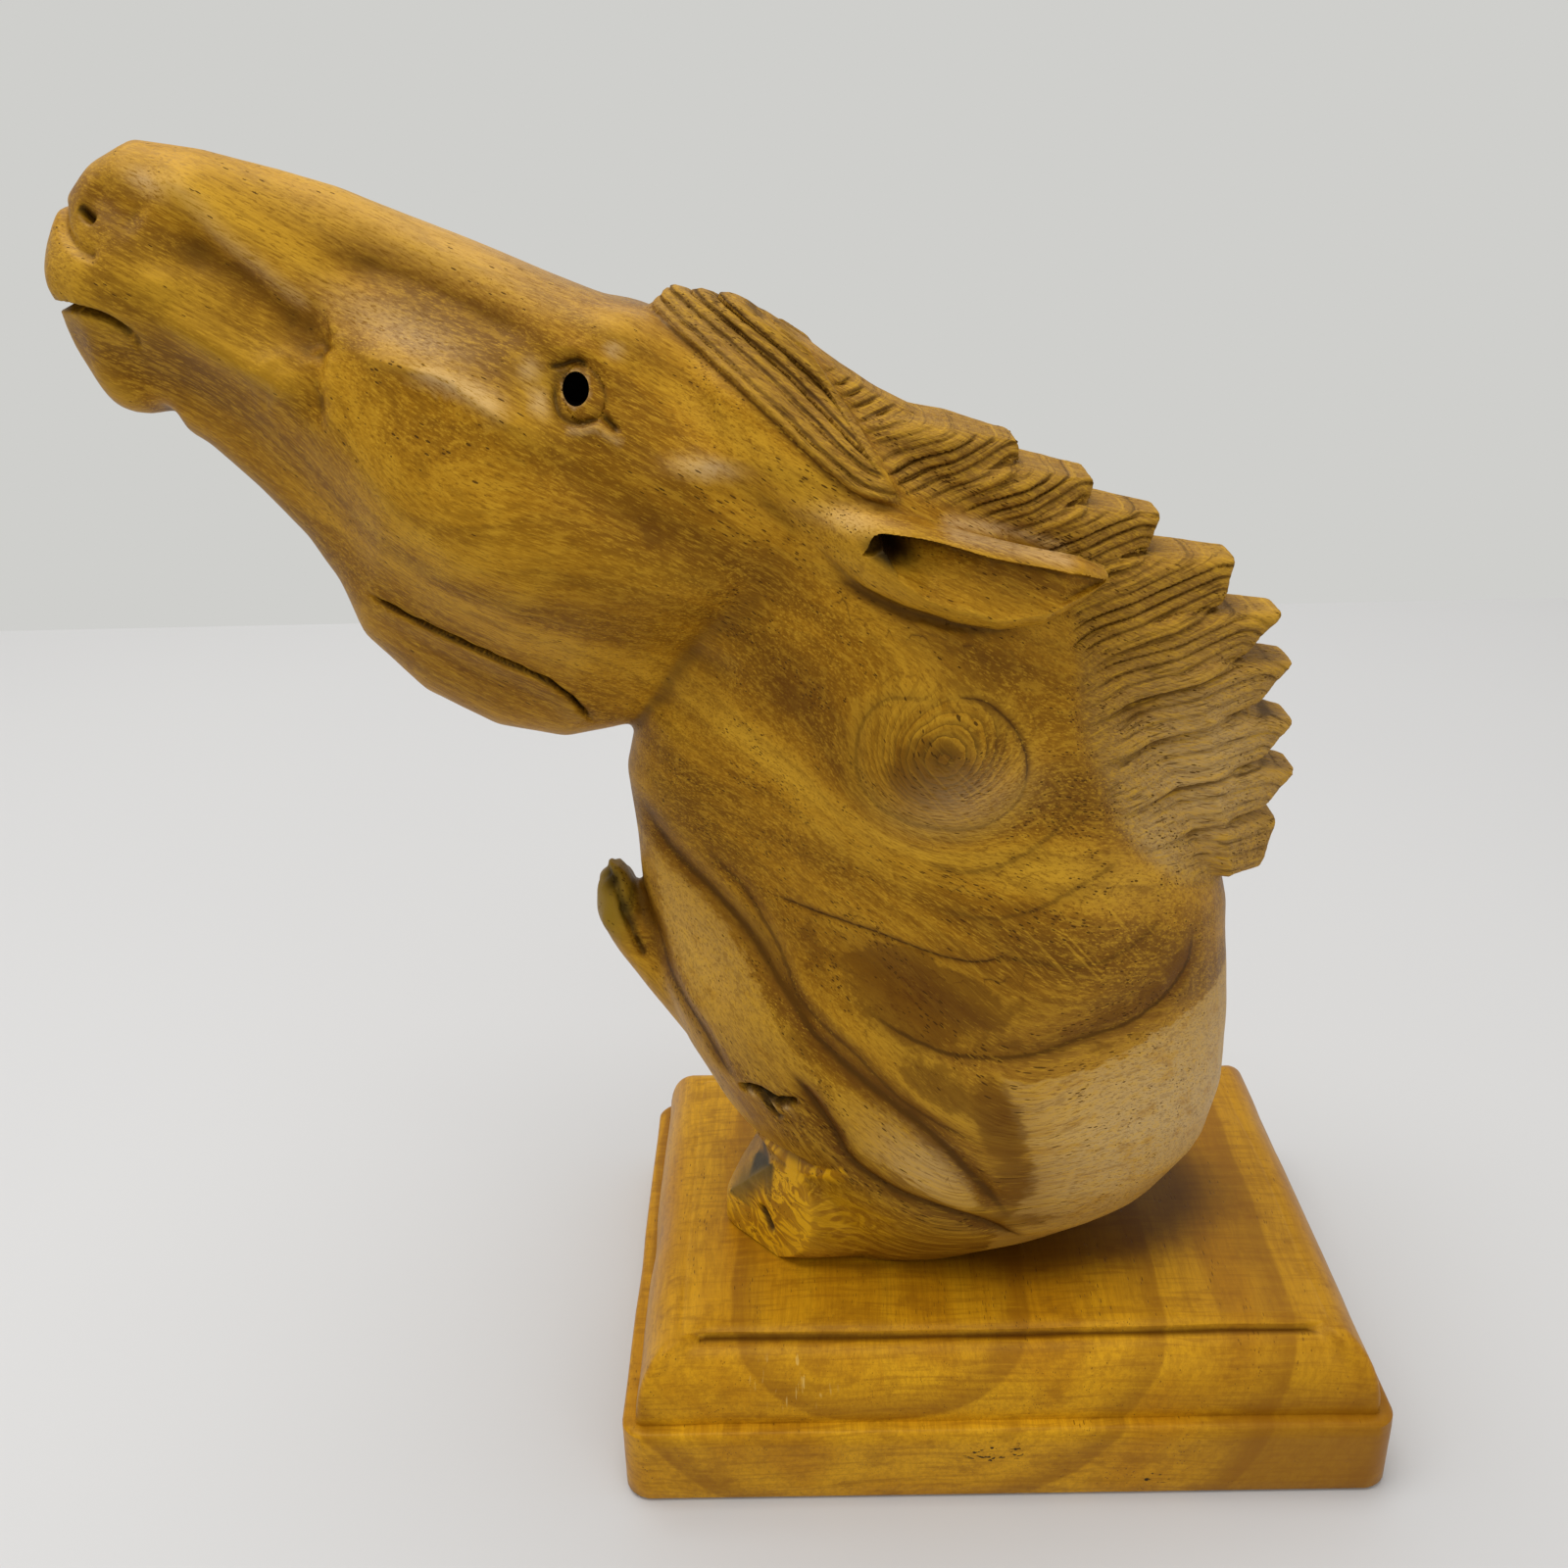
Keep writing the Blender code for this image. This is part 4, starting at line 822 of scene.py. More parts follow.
def carve_root(skin):
    """Creases, lobes and cracks of the root wood."""
    shelf(skin, LOBE_CREASE, width=8.0, height=0.9, side=NEAR, ends=0.15, soft=0.5)
    ridge(skin, LOBE_CREASE, width=0.8, height=-0.7, side=NEAR, ends=0.15)
    ridge(skin, BARK_BAND, width=1.2, height=-0.45, side=NEAR, ends=0.1)
    ridge(skin, BARK_BAND_TWIN, width=1.3, height=-0.4, side=NEAR, ends=0.15)
    ridge(skin, LEFT_BAND, width=1.2, height=-0.6, side=NEAR, ends=0.15)
    ridge(skin, FOLD, width=1.4, height=-0.5, side=NEAR)
    ridge(skin, HEART, width=0.7, height=-0.25, side=NEAR, ends=0.1)
    ridge(skin, HAIRLINE, width=0.35, height=-0.3, side=NEAR, ends=0.1)
    skin.settle()
    ridge(skin, CRACK, width=0.62, height=-2.3, side=NEAR, ends=0.1, rough=0.5)
    ridge(skin, CRACK_BRANCH, width=0.45, height=-1.5, side=NEAR, ends=0.2, rough=0.5)
    swell(skin, centre=(-38.0, 63.4), radii=(1.8, 1.0), height=0.7, lean=-40.0, side=NEAR)
    knob = patch(skin.places, (-66.0, 93.5), (5.5, 8.0), -10.0)
    skin.push(0.35 * knob * drift(skin.places, (1.8, 1.8, 3.6), 44))
    ridge(skin, KNOB_GROOVE, width=0.8, height=-1.1, ends=0.1, rough=0.3)
    swell(skin, centre=(-65.6, 97.0), radii=(1.3, 1.6), height=-1.6, everywhere=True)
    for face, top in zip(TOE_FACES, TOE_TOPS):
        beyond, normal = beyond_face(skin.places, face)
        x, _, z = skin.places.T
        toe = smooth_step(-22.0, -27.0, x) * smooth_step(top + 1.5, top - 1.5, z)
        skin.places = skin.places - (np.clip(beyond, 0.0, None) * toe)[:, None] * normal
    skin.settle()
    ridge(skin, TOE_HOLE, width=0.6, height=-1.0, side=NEAR, ends=0.3)
    skin.settle()


def uneven(skin):
    """The slight waves and flats that a knife and sandpaper leave."""
    skin.push(0.16 * drift(skin.places, 11.0, 51) + 0.06 * drift(skin.places, 4.5, 52))
    skin.settle()


def drill_pupils(thing):
    """Drill the two round pupils, a blind hole in each eyeball."""
    bm = bmesh.new()
    for side in (1.0, -1.0):
        drill = bmesh.ops.create_cone(bm, cap_ends=True, segments=PUPIL_SIDES, radius1=1.0, radius2=1.0,
                                      depth=1.0)
        for vert in drill["verts"]:
            x, y, z = vert.co
            vert.co = (PUPIL[0] + x * PUPIL_RADII[0], side * (PUPIL_FLOOR + (z + 0.5) * PUPIL_FLOOR),
                       PUPIL[1] + y * PUPIL_RADII[1])
    bmesh.ops.recalc_face_normals(bm, faces=bm.faces)
    drills = new_piece("drills", bm)
    apply_modifier(thing, "BOOLEAN", operation="DIFFERENCE", solver="MANIFOLD", object=drills)
    bpy.data.objects.remove(drills, do_unlink=True)


def saw_foot(thing):
    """Saw the foot flat on its line."""
    bm = bmesh.new()
    bm.from_mesh(thing.data)
    bmesh.ops.bisect_plane(bm, geom=bm.verts[:] + bm.edges[:] + bm.faces[:], plane_co=(0.0, 0.0, DRAWN_FOOT),
                           plane_no=(0.0, 0.0, -1.0), clear_outer=True, dist=1e-5)
    rim = [edge for edge in bm.edges if edge.is_boundary]
    bmesh.ops.triangle_fill(bm, edges=rim, use_beauty=True, normal=(0.0, 0.0, -1.0))
    bmesh.ops.triangulate(bm, faces=bm.faces)
    bmesh.ops.recalc_face_normals(bm, faces=bm.faces)
    bm.to_mesh(thing.data)
    bm.free()


def carve_horse():
    """The whole carving, in steps, with its hollows measured before the mesh is thinned."""
    horse = block_out()
    skin = Skin(horse)
    skin.relax(16)
    carve_masses(skin)
    skin.relax(4)
    add_locks_and_ears(horse)
    refine(horse)
    skin = Skin(horse)
    mane, forelock, _ = mane_share(skin)
    skin.relax(6, share=1.0 - 0.45 * np.maximum(mane, forelock))
    uneven(skin)
    carve_muzzle(skin)
    carve_cheek(skin)
    carve_eyes(skin)
    carve_root(skin)
    comb_mane(skin)
    hollow_ears(skin)
    hollows = measure_hollows(skin)
    triangles = 2 * len(horse.data.polygons)
    apply_modifier(horse, "DECIMATE", ratio=CARVING_TRIANGLES / triangles, use_collapse_triangulate=True)
    drill_pupils(horse)
    saw_foot(horse)
    return horse, hollows


# Painting: where the wood's tints, painted shade and painted highlights lie, kept as attributes for the
# carving's material

FINE_ROUNDS = 10
BROAD_ROUNDS = 90
NO_LINE_NEAR = 9.0
LINE_REACH = 7.0
CHEEK_RINGS = [[(-99.0, 165.0), (-93.0, 161.0), (-86.5, 161.5), (-83.0, 167.0)],
               [(-97.0, 159.5), (-89.0, 156.0), (-80.0, 157.0), (-75.5, 163.0), (-76.0, 169.0)],
               [(-93.0, 152.5), (-84.0, 150.0), (-75.0, 151.0), (-69.0, 156.0), (-67.0, 163.0)]]
CHEEK_RING_TINTS = [(0.60, 0.8), (0.60, 0.9), (0.45, 1.1)]
# Painted highlights along the crest of the cheek and along the ear's rim
HIGHLIT_CHEEK_CREST = [(-88.0, 185.6), (-82.5, 184.0), (-77.0, 181.4), (-71.5, 177.6)]
HIGHLIT_EAR_RIM = [(-12.0, 161.6), (0.0, 158.2), (9.0, 155.0)]
FAR_BAND = [(-52.0, 108.0), (-44.0, 94.0), (-30.0, 82.0), (-14.0, 72.0), (6.0, 66.0), (22.0, 68.0)]
FAR_BAND_LOW = [(-46.0, 74.0), (-34.0, 62.0), (-18.0, 52.0), (0.0, 44.0)]
FAR_ARC = [(-14.0, 108.0), (-4.0, 102.0), (8.0, 101.0), (20.0, 106.0)]
FAR_PALE_EDGE = [(4.0, 34.0), (8.0, 46.0), (6.0, 58.0), (10.0, 68.0), (24.0, 74.0), (44.0, 78.0)]


def measure_hollows(skin):
    """A search tree of the skin's points, with how far each lies in a narrow and in a broad hollow, for
    painted shade and highlights.
    """
    tree = kdtree.KDTree(len(skin.places))
    for number, place in enumerate(skin.places):
        tree.insert(place, number)
    tree.balance()
    return tree, skin.hollowness(FINE_ROUNDS), skin.hollowness(BROAD_ROUNDS)


def line(places, path, width, ends=0.12):
    """A soft line of tint along a path."""
    distance, share = along_path(places, path, 3.5 * width)
    return np.exp(-(distance / width) ** 2) * fade(share, ends)


def spots(places, *rows):
    """The strongest of several soft ovals of tint: force, centre, radii and lean of each."""
    return np.max([force * spot(places, *oval) for force, *oval in rows], axis=0)


def lines(places, *rows):
    """The strongest of several soft lines of tint: force, path, width and the share of its ends."""
    return np.max([force * line(places, *course) for force, *course in rows], axis=0)


def by_side(near, near_side, far_side):
    """One value on the near side and another on the far side."""
    return near * near_side + (1.0 - near) * far_side


def vein_and_shade_line_places(places, veins_and_shade_lines, near):
    """Signed distance to the nearest of the veins and painted shade lines, counted in its width, how strong
    it is, and a spare zero.

    The strength falls off well beside each line, so that the sign may change unseen between two.
    """
    counted = np.full(len(places), NO_LINE_NEAR)
    strength = np.zeros(len(places))
    for path, width, force, side in veins_and_shade_lines:
        distance, share = along_path(places, path, LINE_REACH)
        closed = path[0] == path[-1]
        power = force * (1.0 - smooth_step(2.6, 4.4, np.abs(distance)))
        power = power * (1.0 if closed else fade(share, 0.1)) * (near if side == NEAR else 1.0 - near)
        better = power > strength
        counted[better] = (distance / width)[better]
        strength[better] = power[better]
    return np.stack([counted, strength, np.zeros(len(places))], axis=1)


def right_of(places, path, reach):
    """Distance from a path in side view, positive on the right of its travel."""
    return np.clip(-along_path(places, path, reach)[0], -8.0, 30.0)


# Veins in layers, so that those of one layer lie well apart: path, width, strength and side.
# The lines along the ear's crease and the forelock's edge are painted shade.
VEIN_AND_SHADE_LINE_LAYERS = [
    [(BARK_BAND, 1.5, 1.0, NEAR), (HAIRLINE, 0.42, 1.0, NEAR), (HEART, 0.9, 0.4, NEAR),
     (FOLD, 1.0, 0.9, NEAR), (FAR_BAND, 1.7, 0.9, FAR), (EAR_CREASE, 0.8, 0.8, NEAR),
     (EAR_CREASE, 0.8, 0.8, FAR), (FORELOCK_EDGE, 0.6, 0.8, NEAR), (FORELOCK_EDGE, 0.6, 0.8, FAR)],
    [(BARK_BAND_TWIN, 1.0, 0.7, NEAR), (LEFT_BAND, 1.0, 0.9, NEAR), (KNOT_ARCS[0], 1.2, 0.45, NEAR),
     (KNOT_ARCS[2], 1.2, 0.45, NEAR), (KNOT_LOBE, 0.5, 0.9, NEAR), (FAR_BAND_LOW, 1.4, 0.8, FAR),
     (FAR_ARC, 0.9, 0.7, FAR)],
    [(LOBE_CREASE, 1.3, 1.0, NEAR), (KNOT_ARCS[1], 1.2, 0.45, NEAR), (FAR_PALE_EDGE, 0.8, 0.6, FAR)],
]


def paint_heartwood_and_shade(places, near):
    """Dark red brown wood, and painted shade along the nose's hollow and channel, round the nostril and under
    the ear.
    """
    below = smooth_step(-0.5, 0.5, right_of(places, HAIRLINE, 22.0))
    above_fold = [(x, z + 2.5) for x, z in FOLD]
    under_fold = [(x, z - 2.0) for x, z in FOLD[3:]]
    # Painted shade lies along NOSE_HOLLOW and NOSE_CHANNEL, round the nostril at (-129, 206) and under the
    # ear at (-6, 143)
    near_side = np.max([
        0.95 * below * spot(places, (-14.0, 88.0), (19.0, 9.5), -22.0),
        0.80 * patch(places, (-12.8, 125.0), (9.0, 6.5)),
        lines(places, (0.5, BARK_BAND, 3.2), (0.4, BARK_BAND_TWIN, 3.0), (0.4, LEFT_BAND, 2.4),
              (0.6, LOBE_CREASE, 2.4), (0.6, above_fold, 3.5), (0.45, under_fold, 2.6),
              (0.5, NOSE_HOLLOW[1:], 2.6), (0.4, NOSE_CHANNEL, 2.4)),
        spots(places,
              (0.95, (-1.5, 65.0), (5.0, 11.0), 24.0), (0.70, (2.0, 54.0), (5.0, 9.0), 10.0),
              (0.80, (-11.0, 72.5), (11.0, 5.0), -38.0), (0.30, (-6.0, 152.0), (17.0, 5.0), -15.0),
              (0.45, (-20.5, 132.0), (4.0, 6.0), -30.0), (0.60, (4.0, 44.5), (12.0, 3.0), -12.0),
              (0.50, (-30.0, 96.0), (6.0, 10.0), 30.0), (0.35, (-62.0, 150.0), (12.0, 10.0), -30.0),
              (0.45, (-83.0, 138.0), (16.0, 5.0), -30.0), (0.50, (-52.0, 162.0), (10.0, 5.0), -30.0),
              (0.45, (-27.0, 128.0), (6.0, 13.0), 20.0), (0.55, (-6.0, 143.0), (15.0, 4.5), -15.0),
              (0.15, (11.0, 124.0), (5.0, 12.0), 15.0), (0.45, (-129.0, 206.0), (5.0, 3.0), -30.0),
              (0.55, (-33.0, 136.0), (7.0, 7.0))),
    ], axis=0)
    far_side = np.maximum(
        lines(places, (0.5, FAR_BAND, 4.0), (0.5, FAR_BAND_LOW, 3.2)),
        spots(places, (0.5, (-74.0, 150.0), (22.0, 12.0), -28.0), (0.5, (2.0, 98.0), (18.0, 10.0), -15.0)))
    return by_side(near, near_side, far_side)


def paint_pale_edge(places, near):
    """Distance inside the edge of the nearest pale patch, negative outside."""
    near_side = np.max([right_of(places, BEIGE_EDGE, 40.0), right_of(places, PALE_LOBE, 9.0),
                        right_of(places, PALE_STRIP, 9.0)], axis=0)
    return by_side(near, near_side, right_of(places, FAR_PALE_EDGE, 40.0))


def paint_sapwood_and_highlight(places, near):
    """How pale the wood is, most of all in the lower back of the trunk and in the low locks, and a painted
    highlight along the top of the forehead and nose.
    """
    near_side = spots(places,
                      (1.00, (27.0, 62.0), (28.0, 22.0), 12.0), (0.65, (-12.0, 56.0), (12.0, 9.0), -45.0),
                      (0.30, (-50.0, 92.0), (9.0, 16.0), 30.0), (0.60, (24.0, 108.0), (11.0, 15.0), -20.0),
                      (0.75, (33.0, 118.0), (16.0, 16.0)), (0.35, (36.0, 78.0), (8.0, 22.0)))
    far_side = spots(places, (0.8, (26.0, 56.0), (24.0, 18.0)), (0.5, (30.0, 116.0), (16.0, 18.0)))
    # Painted highlight along the top of the forehead and nose
    forehead_highlight = 0.45 * spot(places, (-84.0, 203.0), (30.0, 6.0), -20.0)
    return np.maximum(by_side(near, near_side, far_side), forehead_highlight)


def paint_golden(places, near):
    """Painted highlights on the bulges of the muzzle and on the nose's upper plane, a pale patch before the
    eye, and the cheek's and the knot's pale rings.
    """
    rings = lines(places, (0.65, HEART, 1.6, 0.02), (0.75, KNOT_GLEAM, 1.3, 0.3),
                  *((force, path, width) for path, (force, width) in zip(CHEEK_RINGS, CHEEK_RING_TINTS)))
    # Painted highlights on the muzzle's bulges and the nose's upper plane, with a pale patch before the eye
    # at (-69, 180.5)
    bright = spots(places,
                   (0.75, (-134.0, 199.0), (5.5, 7.0)), (0.75, (-120.0, 196.0), (9.0, 4.0), -20.0),
                   (0.45, (-108.0, 187.0), (8.0, 4.0), -35.0), (0.55, (-110.0, 206.0), (16.0, 4.5), -18.0),
                   (0.60, (-69.0, 180.5), (3.0, 5.0), 20.0), (0.50, (-129.0, 191.0), (5.0, 3.0), -15.0))
    return np.maximum(near * rings, bright)


def paint_sheen_and_wear(places):
    """Painted highlights on raised crests and rims of the face, ear and neck, and the fresh pale chips beside
    the crack.
    """
    pupil_rim = (oval_distance(places, PUPIL, PUPIL_RADII) - 1.05) / 0.06
    return np.max([
        0.5 * np.exp(-pupil_rim ** 2),
        0.32 * (places[:, 1] < 0.0) * spot(places, (-8.0, 120.5), (9.5, 4.5), 8.0),
        lines(places, (1.0, HIGHLIT_CHEEK_CREST, 1.3, 0.3), (0.4, LOWER_LID, 0.5), (0.5, HIGHLIT_EAR_RIM, 0.8),
              (0.35, NOSE_SIDE, 1.2)),
        spots(places,
              (0.45, (-88.0, 189.5), (11.0, 3.0), -24.0), (0.30, (-78.0, 200.0), (22.0, 4.5), -22.0),
              (1.00, (-57.9, 186.2), (1.3, 0.9), -25.0), (0.90, (-45.5, 170.2), (4.2, 1.3), -8.0),
              (0.60, (-68.6, 179.8), (1.0, 1.8), 20.0), (0.50, (-70.0, 184.0), (1.4, 1.6), 20.0),
              (0.50, (-25.0, 163.0), (5.0, 1.5), -10.0), (0.60, (-122.5, 210.0), (3.4, 1.4), -28.0),
              (0.80, (-41.9, 65.4), (0.7, 0.35), -30.0), (0.90, (-38.5, 64.6), (0.8, 0.4), -50.0),
              (0.70, (-36.0, 64.6), (0.7, 0.35), 20.0)),
    ], axis=0)


def paint_stain_and_shade(places):
    """Near black wood and dirt in cracks and holes, and painted shade in the mouth, nostrils, eye creases and
    the ear's hole.
    """
    inside_lips = places[:, 0] > -138.0
    off_forelock = np.abs(places[:, 1]) > 8.0
    # Painted shade in the mouth's slit, the ear's hole, the nostril and the creases round the eye; the cracks
    # and holes are dark wood and dirt
    return np.max([
        0.7 * line(places, MOUTH, 0.8, ends=0.02) * inside_lips,
        patch(places, (-19.0, 158.8), (4.4, 2.0), -22.0) * off_forelock,
        lines(places, (1.0, JAW_CRACK, 0.4), (1.0, CRACK, 0.9), (0.9, CRACK_BRANCH, 0.6), (0.9, NOSTRIL, 0.7),
              (0.75, LID_FOLD, 0.55, 0.2), (0.45, LID_EDGE, 0.3, 0.2), (0.5, UNDER_EYE, 0.5, 0.2),
              (0.7, REAR_CORNER, 0.5, 0.3), (0.7, TOE_HOLE, 0.6), (0.7, KNOB_GROOVE, 0.6)),
        spots(places, (0.55, (-65.6, 183.2), (1.5, 1.0), 30.0), (0.9, (-65.2, 96.6), (1.6, 1.6))),
    ], axis=0)


def paint_wood(horse, hollows):
    """Store the fibres, the tints, and the painted shade and highlights on the skin."""
    skin = Skin(horse)
    places = skin.places
    near = smooth_step(-3.0, 3.0, -places[:, 1])
    mane, forelock, _ = mane_share(skin)
    tree, narrow, broad = hollows
    nearest = np.array([tree.find(place)[1] for place in places])
    x, _, z = places.T
    toe_side = np.all(places < TOE_LIMITS, axis=1)
    yellow, dark = (toe_side * (1.0 - smooth_step(edge, 2.0 * edge, np.abs(beyond_face(places, face)[0])))
                    for face, edge in zip(TOE_FACES, TOE_EDGES))
    dark = dark * np.all(places < DARK_TOE_LIMITS, axis=1)
    toe_glow = 0.6 * near * spot(places, (-27.0, 41.0), (9.0, 6.5))
    scraped = spots(places, (1.0, (12.0, 96.0), (20.0, 9.0), 10.0), (0.6, (-4.0, 112.0), (26.0, 22.0)))
    strands, depth = count_strands(skin)
    layers = {
        "heartwood_and_shade": paint_heartwood_and_shade(places, near),
        "sapwood_and_highlight": paint_sapwood_and_highlight(places, near),
        "pale_edge": paint_pale_edge(places, near),
        "yellow_wood": (1.0 - dark) * np.maximum(yellow, toe_glow),
        "toe_shade": dark,
        "scraped": near * scraped,
        "sheen_and_wear": paint_sheen_and_wear(places),
        "knot": near * patch(places, KNOT, (11.5, 9.5)),
        "golden": paint_golden(places, near),
        "smooth": smooth_step(-40.0, -52.0, x) * smooth_step(118.0, 128.0, z),
        "bark": patch(places, (-66.5, 94.0), (5.5, 8.5), -10.0),
        "rough_cut": np.clip(mane + forelock, 0.0, 1.0),
        "strands": strands,
        "strand_depth": depth / FORELOCK_DEPTH,
        "stain_and_shade": paint_stain_and_shade(places),
        # How deep each point lies in a narrow and in a broad hollow, which the material turns into painted
        # shade and highlights
        "narrow_hollow": narrow[nearest],
        "broad_hollow": broad[nearest],
    }
    for name, values in layers.items():
        layer = horse.data.attributes.new(name, "FLOAT", "POINT")
        layer.data.foreach_set("value", values.astype(np.float32))
    vectors = {"fibres": fibre_places(places), "grain": fibre_places(places, GRAIN_SWIRL)}
    for number, veins_and_shade_lines in enumerate(VEIN_AND_SHADE_LINE_LAYERS):
        vectors[f"veins_{number}"] = vein_and_shade_line_places(places, veins_and_shade_lines, near)
    for name, values in vectors.items():
        layer = horse.data.attributes.new(name, "FLOAT_VECTOR", "POINT")
        layer.data.foreach_set("vector", values.astype(np.float32).ravel())


def mark_pupils(horse):
    """Give the drilled pupils' walls and floors the second material."""
    places = np.array([vert.co for vert in horse.data.vertices])
    inside = oval_distance(places, PUPIL, PUPIL_RADII) < PUPIL_RIM
    for face in horse.data.polygons:
        face.material_index = int(all(inside[number] for number in face.vertices))


def make_horse():
    """The finished carving in its place on the plinth."""
    horse, hollows = carve_horse()
    paint_wood(horse, hollows)
    horse.data.materials.clear()
    mark_pupils(horse)
    seat = Matrix.Translation((0.0, 0.0, CARVING_LOW[2]))
    horse.data.transform(seat @ Matrix.Scale(STEP, 4) @ Matrix.Translation((0.0, 0.0, -DRAWN_FOOT)))
    horse.data.shade_smooth()
    horse.data.set_sharp_from_angle(angle=CREASE_ANGLE)
    horse.data.materials.append(carving_wood())
    horse.data.materials.append(pupil_black())
    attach(horse, "root")
    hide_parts("horse_head")


# The moulded plinth

FASCIA_HEIGHT = 0.0145
FASCIA_CORNER = 0.0045
LEDGE_WIDTH = 0.0024
OVOLO_WIDTH = 0.0070
OVOLO_CORNER = 0.0012
TOP_STEP = 0.0010
FOOT_ROUNDING = 0.0006
EDGE_ROUNDING = 0.0003
OVOLO_STEPS = 12
STEP_FOOT = 0.0006
STEP_ON_SIDES = 0.12
TOP_RINGS = (0.0035, 0.006, 0.010, 0.016, 0.024, 0.031)
FRONT_ENDS = (0.0012, 0.0040)
WANDER_IN = 0.00045
WANDER_DOWN = 0.00030
WANDER_ARM = 0.05
PLINTH_CREASE_ANGLE = math.radians(40.0)
MILLIMETRES = 1000.0
SIDE_POINTS = (116, 80)
CORNER_POINTS = 8


def rectangle_ring(half_x, half_y, corner, z):
    """A rectangle with round corners, with many points along its sides."""
    points = []
    for turn, (sx, sy) in enumerate(((1, 1), (-1, 1), (-1, -1), (1, -1))):
        arc = []
        for k in range(CORNER_POINTS + 1):
            angle = 0.5 * math.pi * (turn + k / CORNER_POINTS)
            arc.append((sx * (half_x - corner) + corner * math.cos(angle),
                        sy * (half_y - corner) + corner * math.sin(angle), z))
        points += arc
        along_x = turn % 2 == 0
        x, y, _ = arc[-1]
        count = SIDE_POINTS[0 if along_x else 1]
        length = 2.0 * ((half_x if along_x else half_y) - corner)
        for k in range(1, count):
            step = length * k / count
            points.append((x - sx * step, y, z) if along_x else (x, y - sy * step, z))
    return points


def plinth_profile():
    """Inset, height with and without the step, corner radius and hand wander of each ring."""
    height = PLINTH_HIGH[2]
    step_low = height - TOP_STEP - EDGE_ROUNDING
    plain = [(FOOT_ROUNDING, 0.0, FASCIA_CORNER, 0.0),
             (0.3 * FOOT_ROUNDING, 0.3 * FOOT_ROUNDING, FASCIA_CORNER, 0.0),
             (0.0, FOOT_ROUNDING, FASCIA_CORNER, 0.0)]
    for share in (0.2, 0.4, 0.6, 0.8):
        plain.append((0.0, share * FASCIA_HEIGHT, FASCIA_CORNER, 0.0))
    plain += [(0.0, FASCIA_HEIGHT - 2.0 * EDGE_ROUNDING, FASCIA_CORNER, 0.3),
              (EDGE_ROUNDING, FASCIA_HEIGHT - 0.5 * EDGE_ROUNDING, FASCIA_CORNER, 0.5),
              (2.5 * EDGE_ROUNDING, FASCIA_HEIGHT, FASCIA_CORNER, 0.5),
              (LEDGE_WIDTH - EDGE_ROUNDING, FASCIA_HEIGHT, OVOLO_CORNER, 0.5)]
    profile = [(inset, z, z, corner, wander) for inset, z, corner, wander in plain]
    for k in range(OVOLO_STEPS + 1):
        angle = 0.5 * math.pi * k / OVOLO_STEPS
        profile.append((LEDGE_WIDTH + OVOLO_WIDTH * (1.0 - math.cos(angle)),
                        FASCIA_HEIGHT + (step_low - FASCIA_HEIGHT) * math.sin(angle),
                        FASCIA_HEIGHT + (height - FASCIA_HEIGHT) * math.sin(angle), OVOLO_CORNER, 0.6))
    inset = LEDGE_WIDTH + OVOLO_WIDTH
    for away, z in ((0.5, step_low - 0.2 * STEP_FOOT), (1.0, step_low - 0.35 * STEP_FOOT),
                    (1.3, step_low + 0.2 * TOP_STEP), (1.6, step_low + 0.8 * TOP_STEP),
                    (2.2, step_low + TOP_STEP), (3.2, height)):
        profile.append((inset + away * STEP_FOOT, z, height, OVOLO_CORNER, 1.0))
    for extra in TOP_RINGS:
        profile.append((inset + extra, height, height, OVOLO_CORNER, 0.0))
    return profile


def front_share(places):
    """1 along the plinth's front, running out before its corners, and 0 on the other sides."""
    from_end = PLINTH_HIGH[0] - np.abs(places[:, 0])
    from_front = places[:, 1] - PLINTH_LOW[1]
    return smooth_step(*FRONT_ENDS, from_end - from_front)


def hand_drift(ring, length, seed):
    """How a hand tool strayed along a ring of the plinth."""
    return drift(ring * MILLIMETRES + 300.0, (length, length, 30.0), seed)


def make_plinth():
    """The plinth, with a step along its front that wanders as a hand tool left it."""
    half_x = PLINTH_HIGH[0]
    half_y = PLINTH_HIGH[1]
    rings = []
    for inset, stepped, plain, corner, wander in plinth_profile():
        ring = np.array(rectangle_ring(half_x - inset, half_y - inset, corner, plain))
        front = STEP_ON_SIDES + (1.0 - STEP_ON_SIDES) * front_share(ring)
        ring[:, 2] += (stepped - plain) * front
        shift = hand_drift(ring, 14.0, 61)
        ring[:, :2] *= 1.0 - np.clip(WANDER_IN * wander * (shift[:, None] + 0.4), 0.0, 1.0) / WANDER_ARM
        ring[:, 2] -= WANDER_DOWN * wander * np.clip(hand_drift(ring, 9.0, 62), 0.0, 1.0)
        rings.append(ring)
    bm = bmesh.new()
    loft(bm, rings)
    bmesh.ops.recalc_face_normals(bm, faces=bm.faces)
    plinth = new_piece("moulded_plinth", bm)
    places = np.array([vert.co for vert in plinth.data.vertices])
    # Darker along the groove at the foot of the front step
    groove = PLINTH_HIGH[2] - TOP_STEP - EDGE_ROUNDING
    behind = places[:, 1] > PLINTH_LOW[1] + LEDGE_WIDTH + OVOLO_WIDTH - 0.0002
    step_foot_dark = front_share(places) * behind * smooth_step(groove + 0.0004, groove - 0.0001, places[:, 2])
    plinth.data.attributes.new("step_foot_dark", "FLOAT", "POINT").data.foreach_set("value", step_foot_dark.astype(np.float32))
    plinth.data.shade_smooth()
    plinth.data.set_sharp_from_angle(angle=PLINTH_CREASE_ANGLE)
    plinth.data.materials.append(plinth_wood())
    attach(plinth, "root")
    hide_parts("plinth")


# Materials: helpers that add nodes


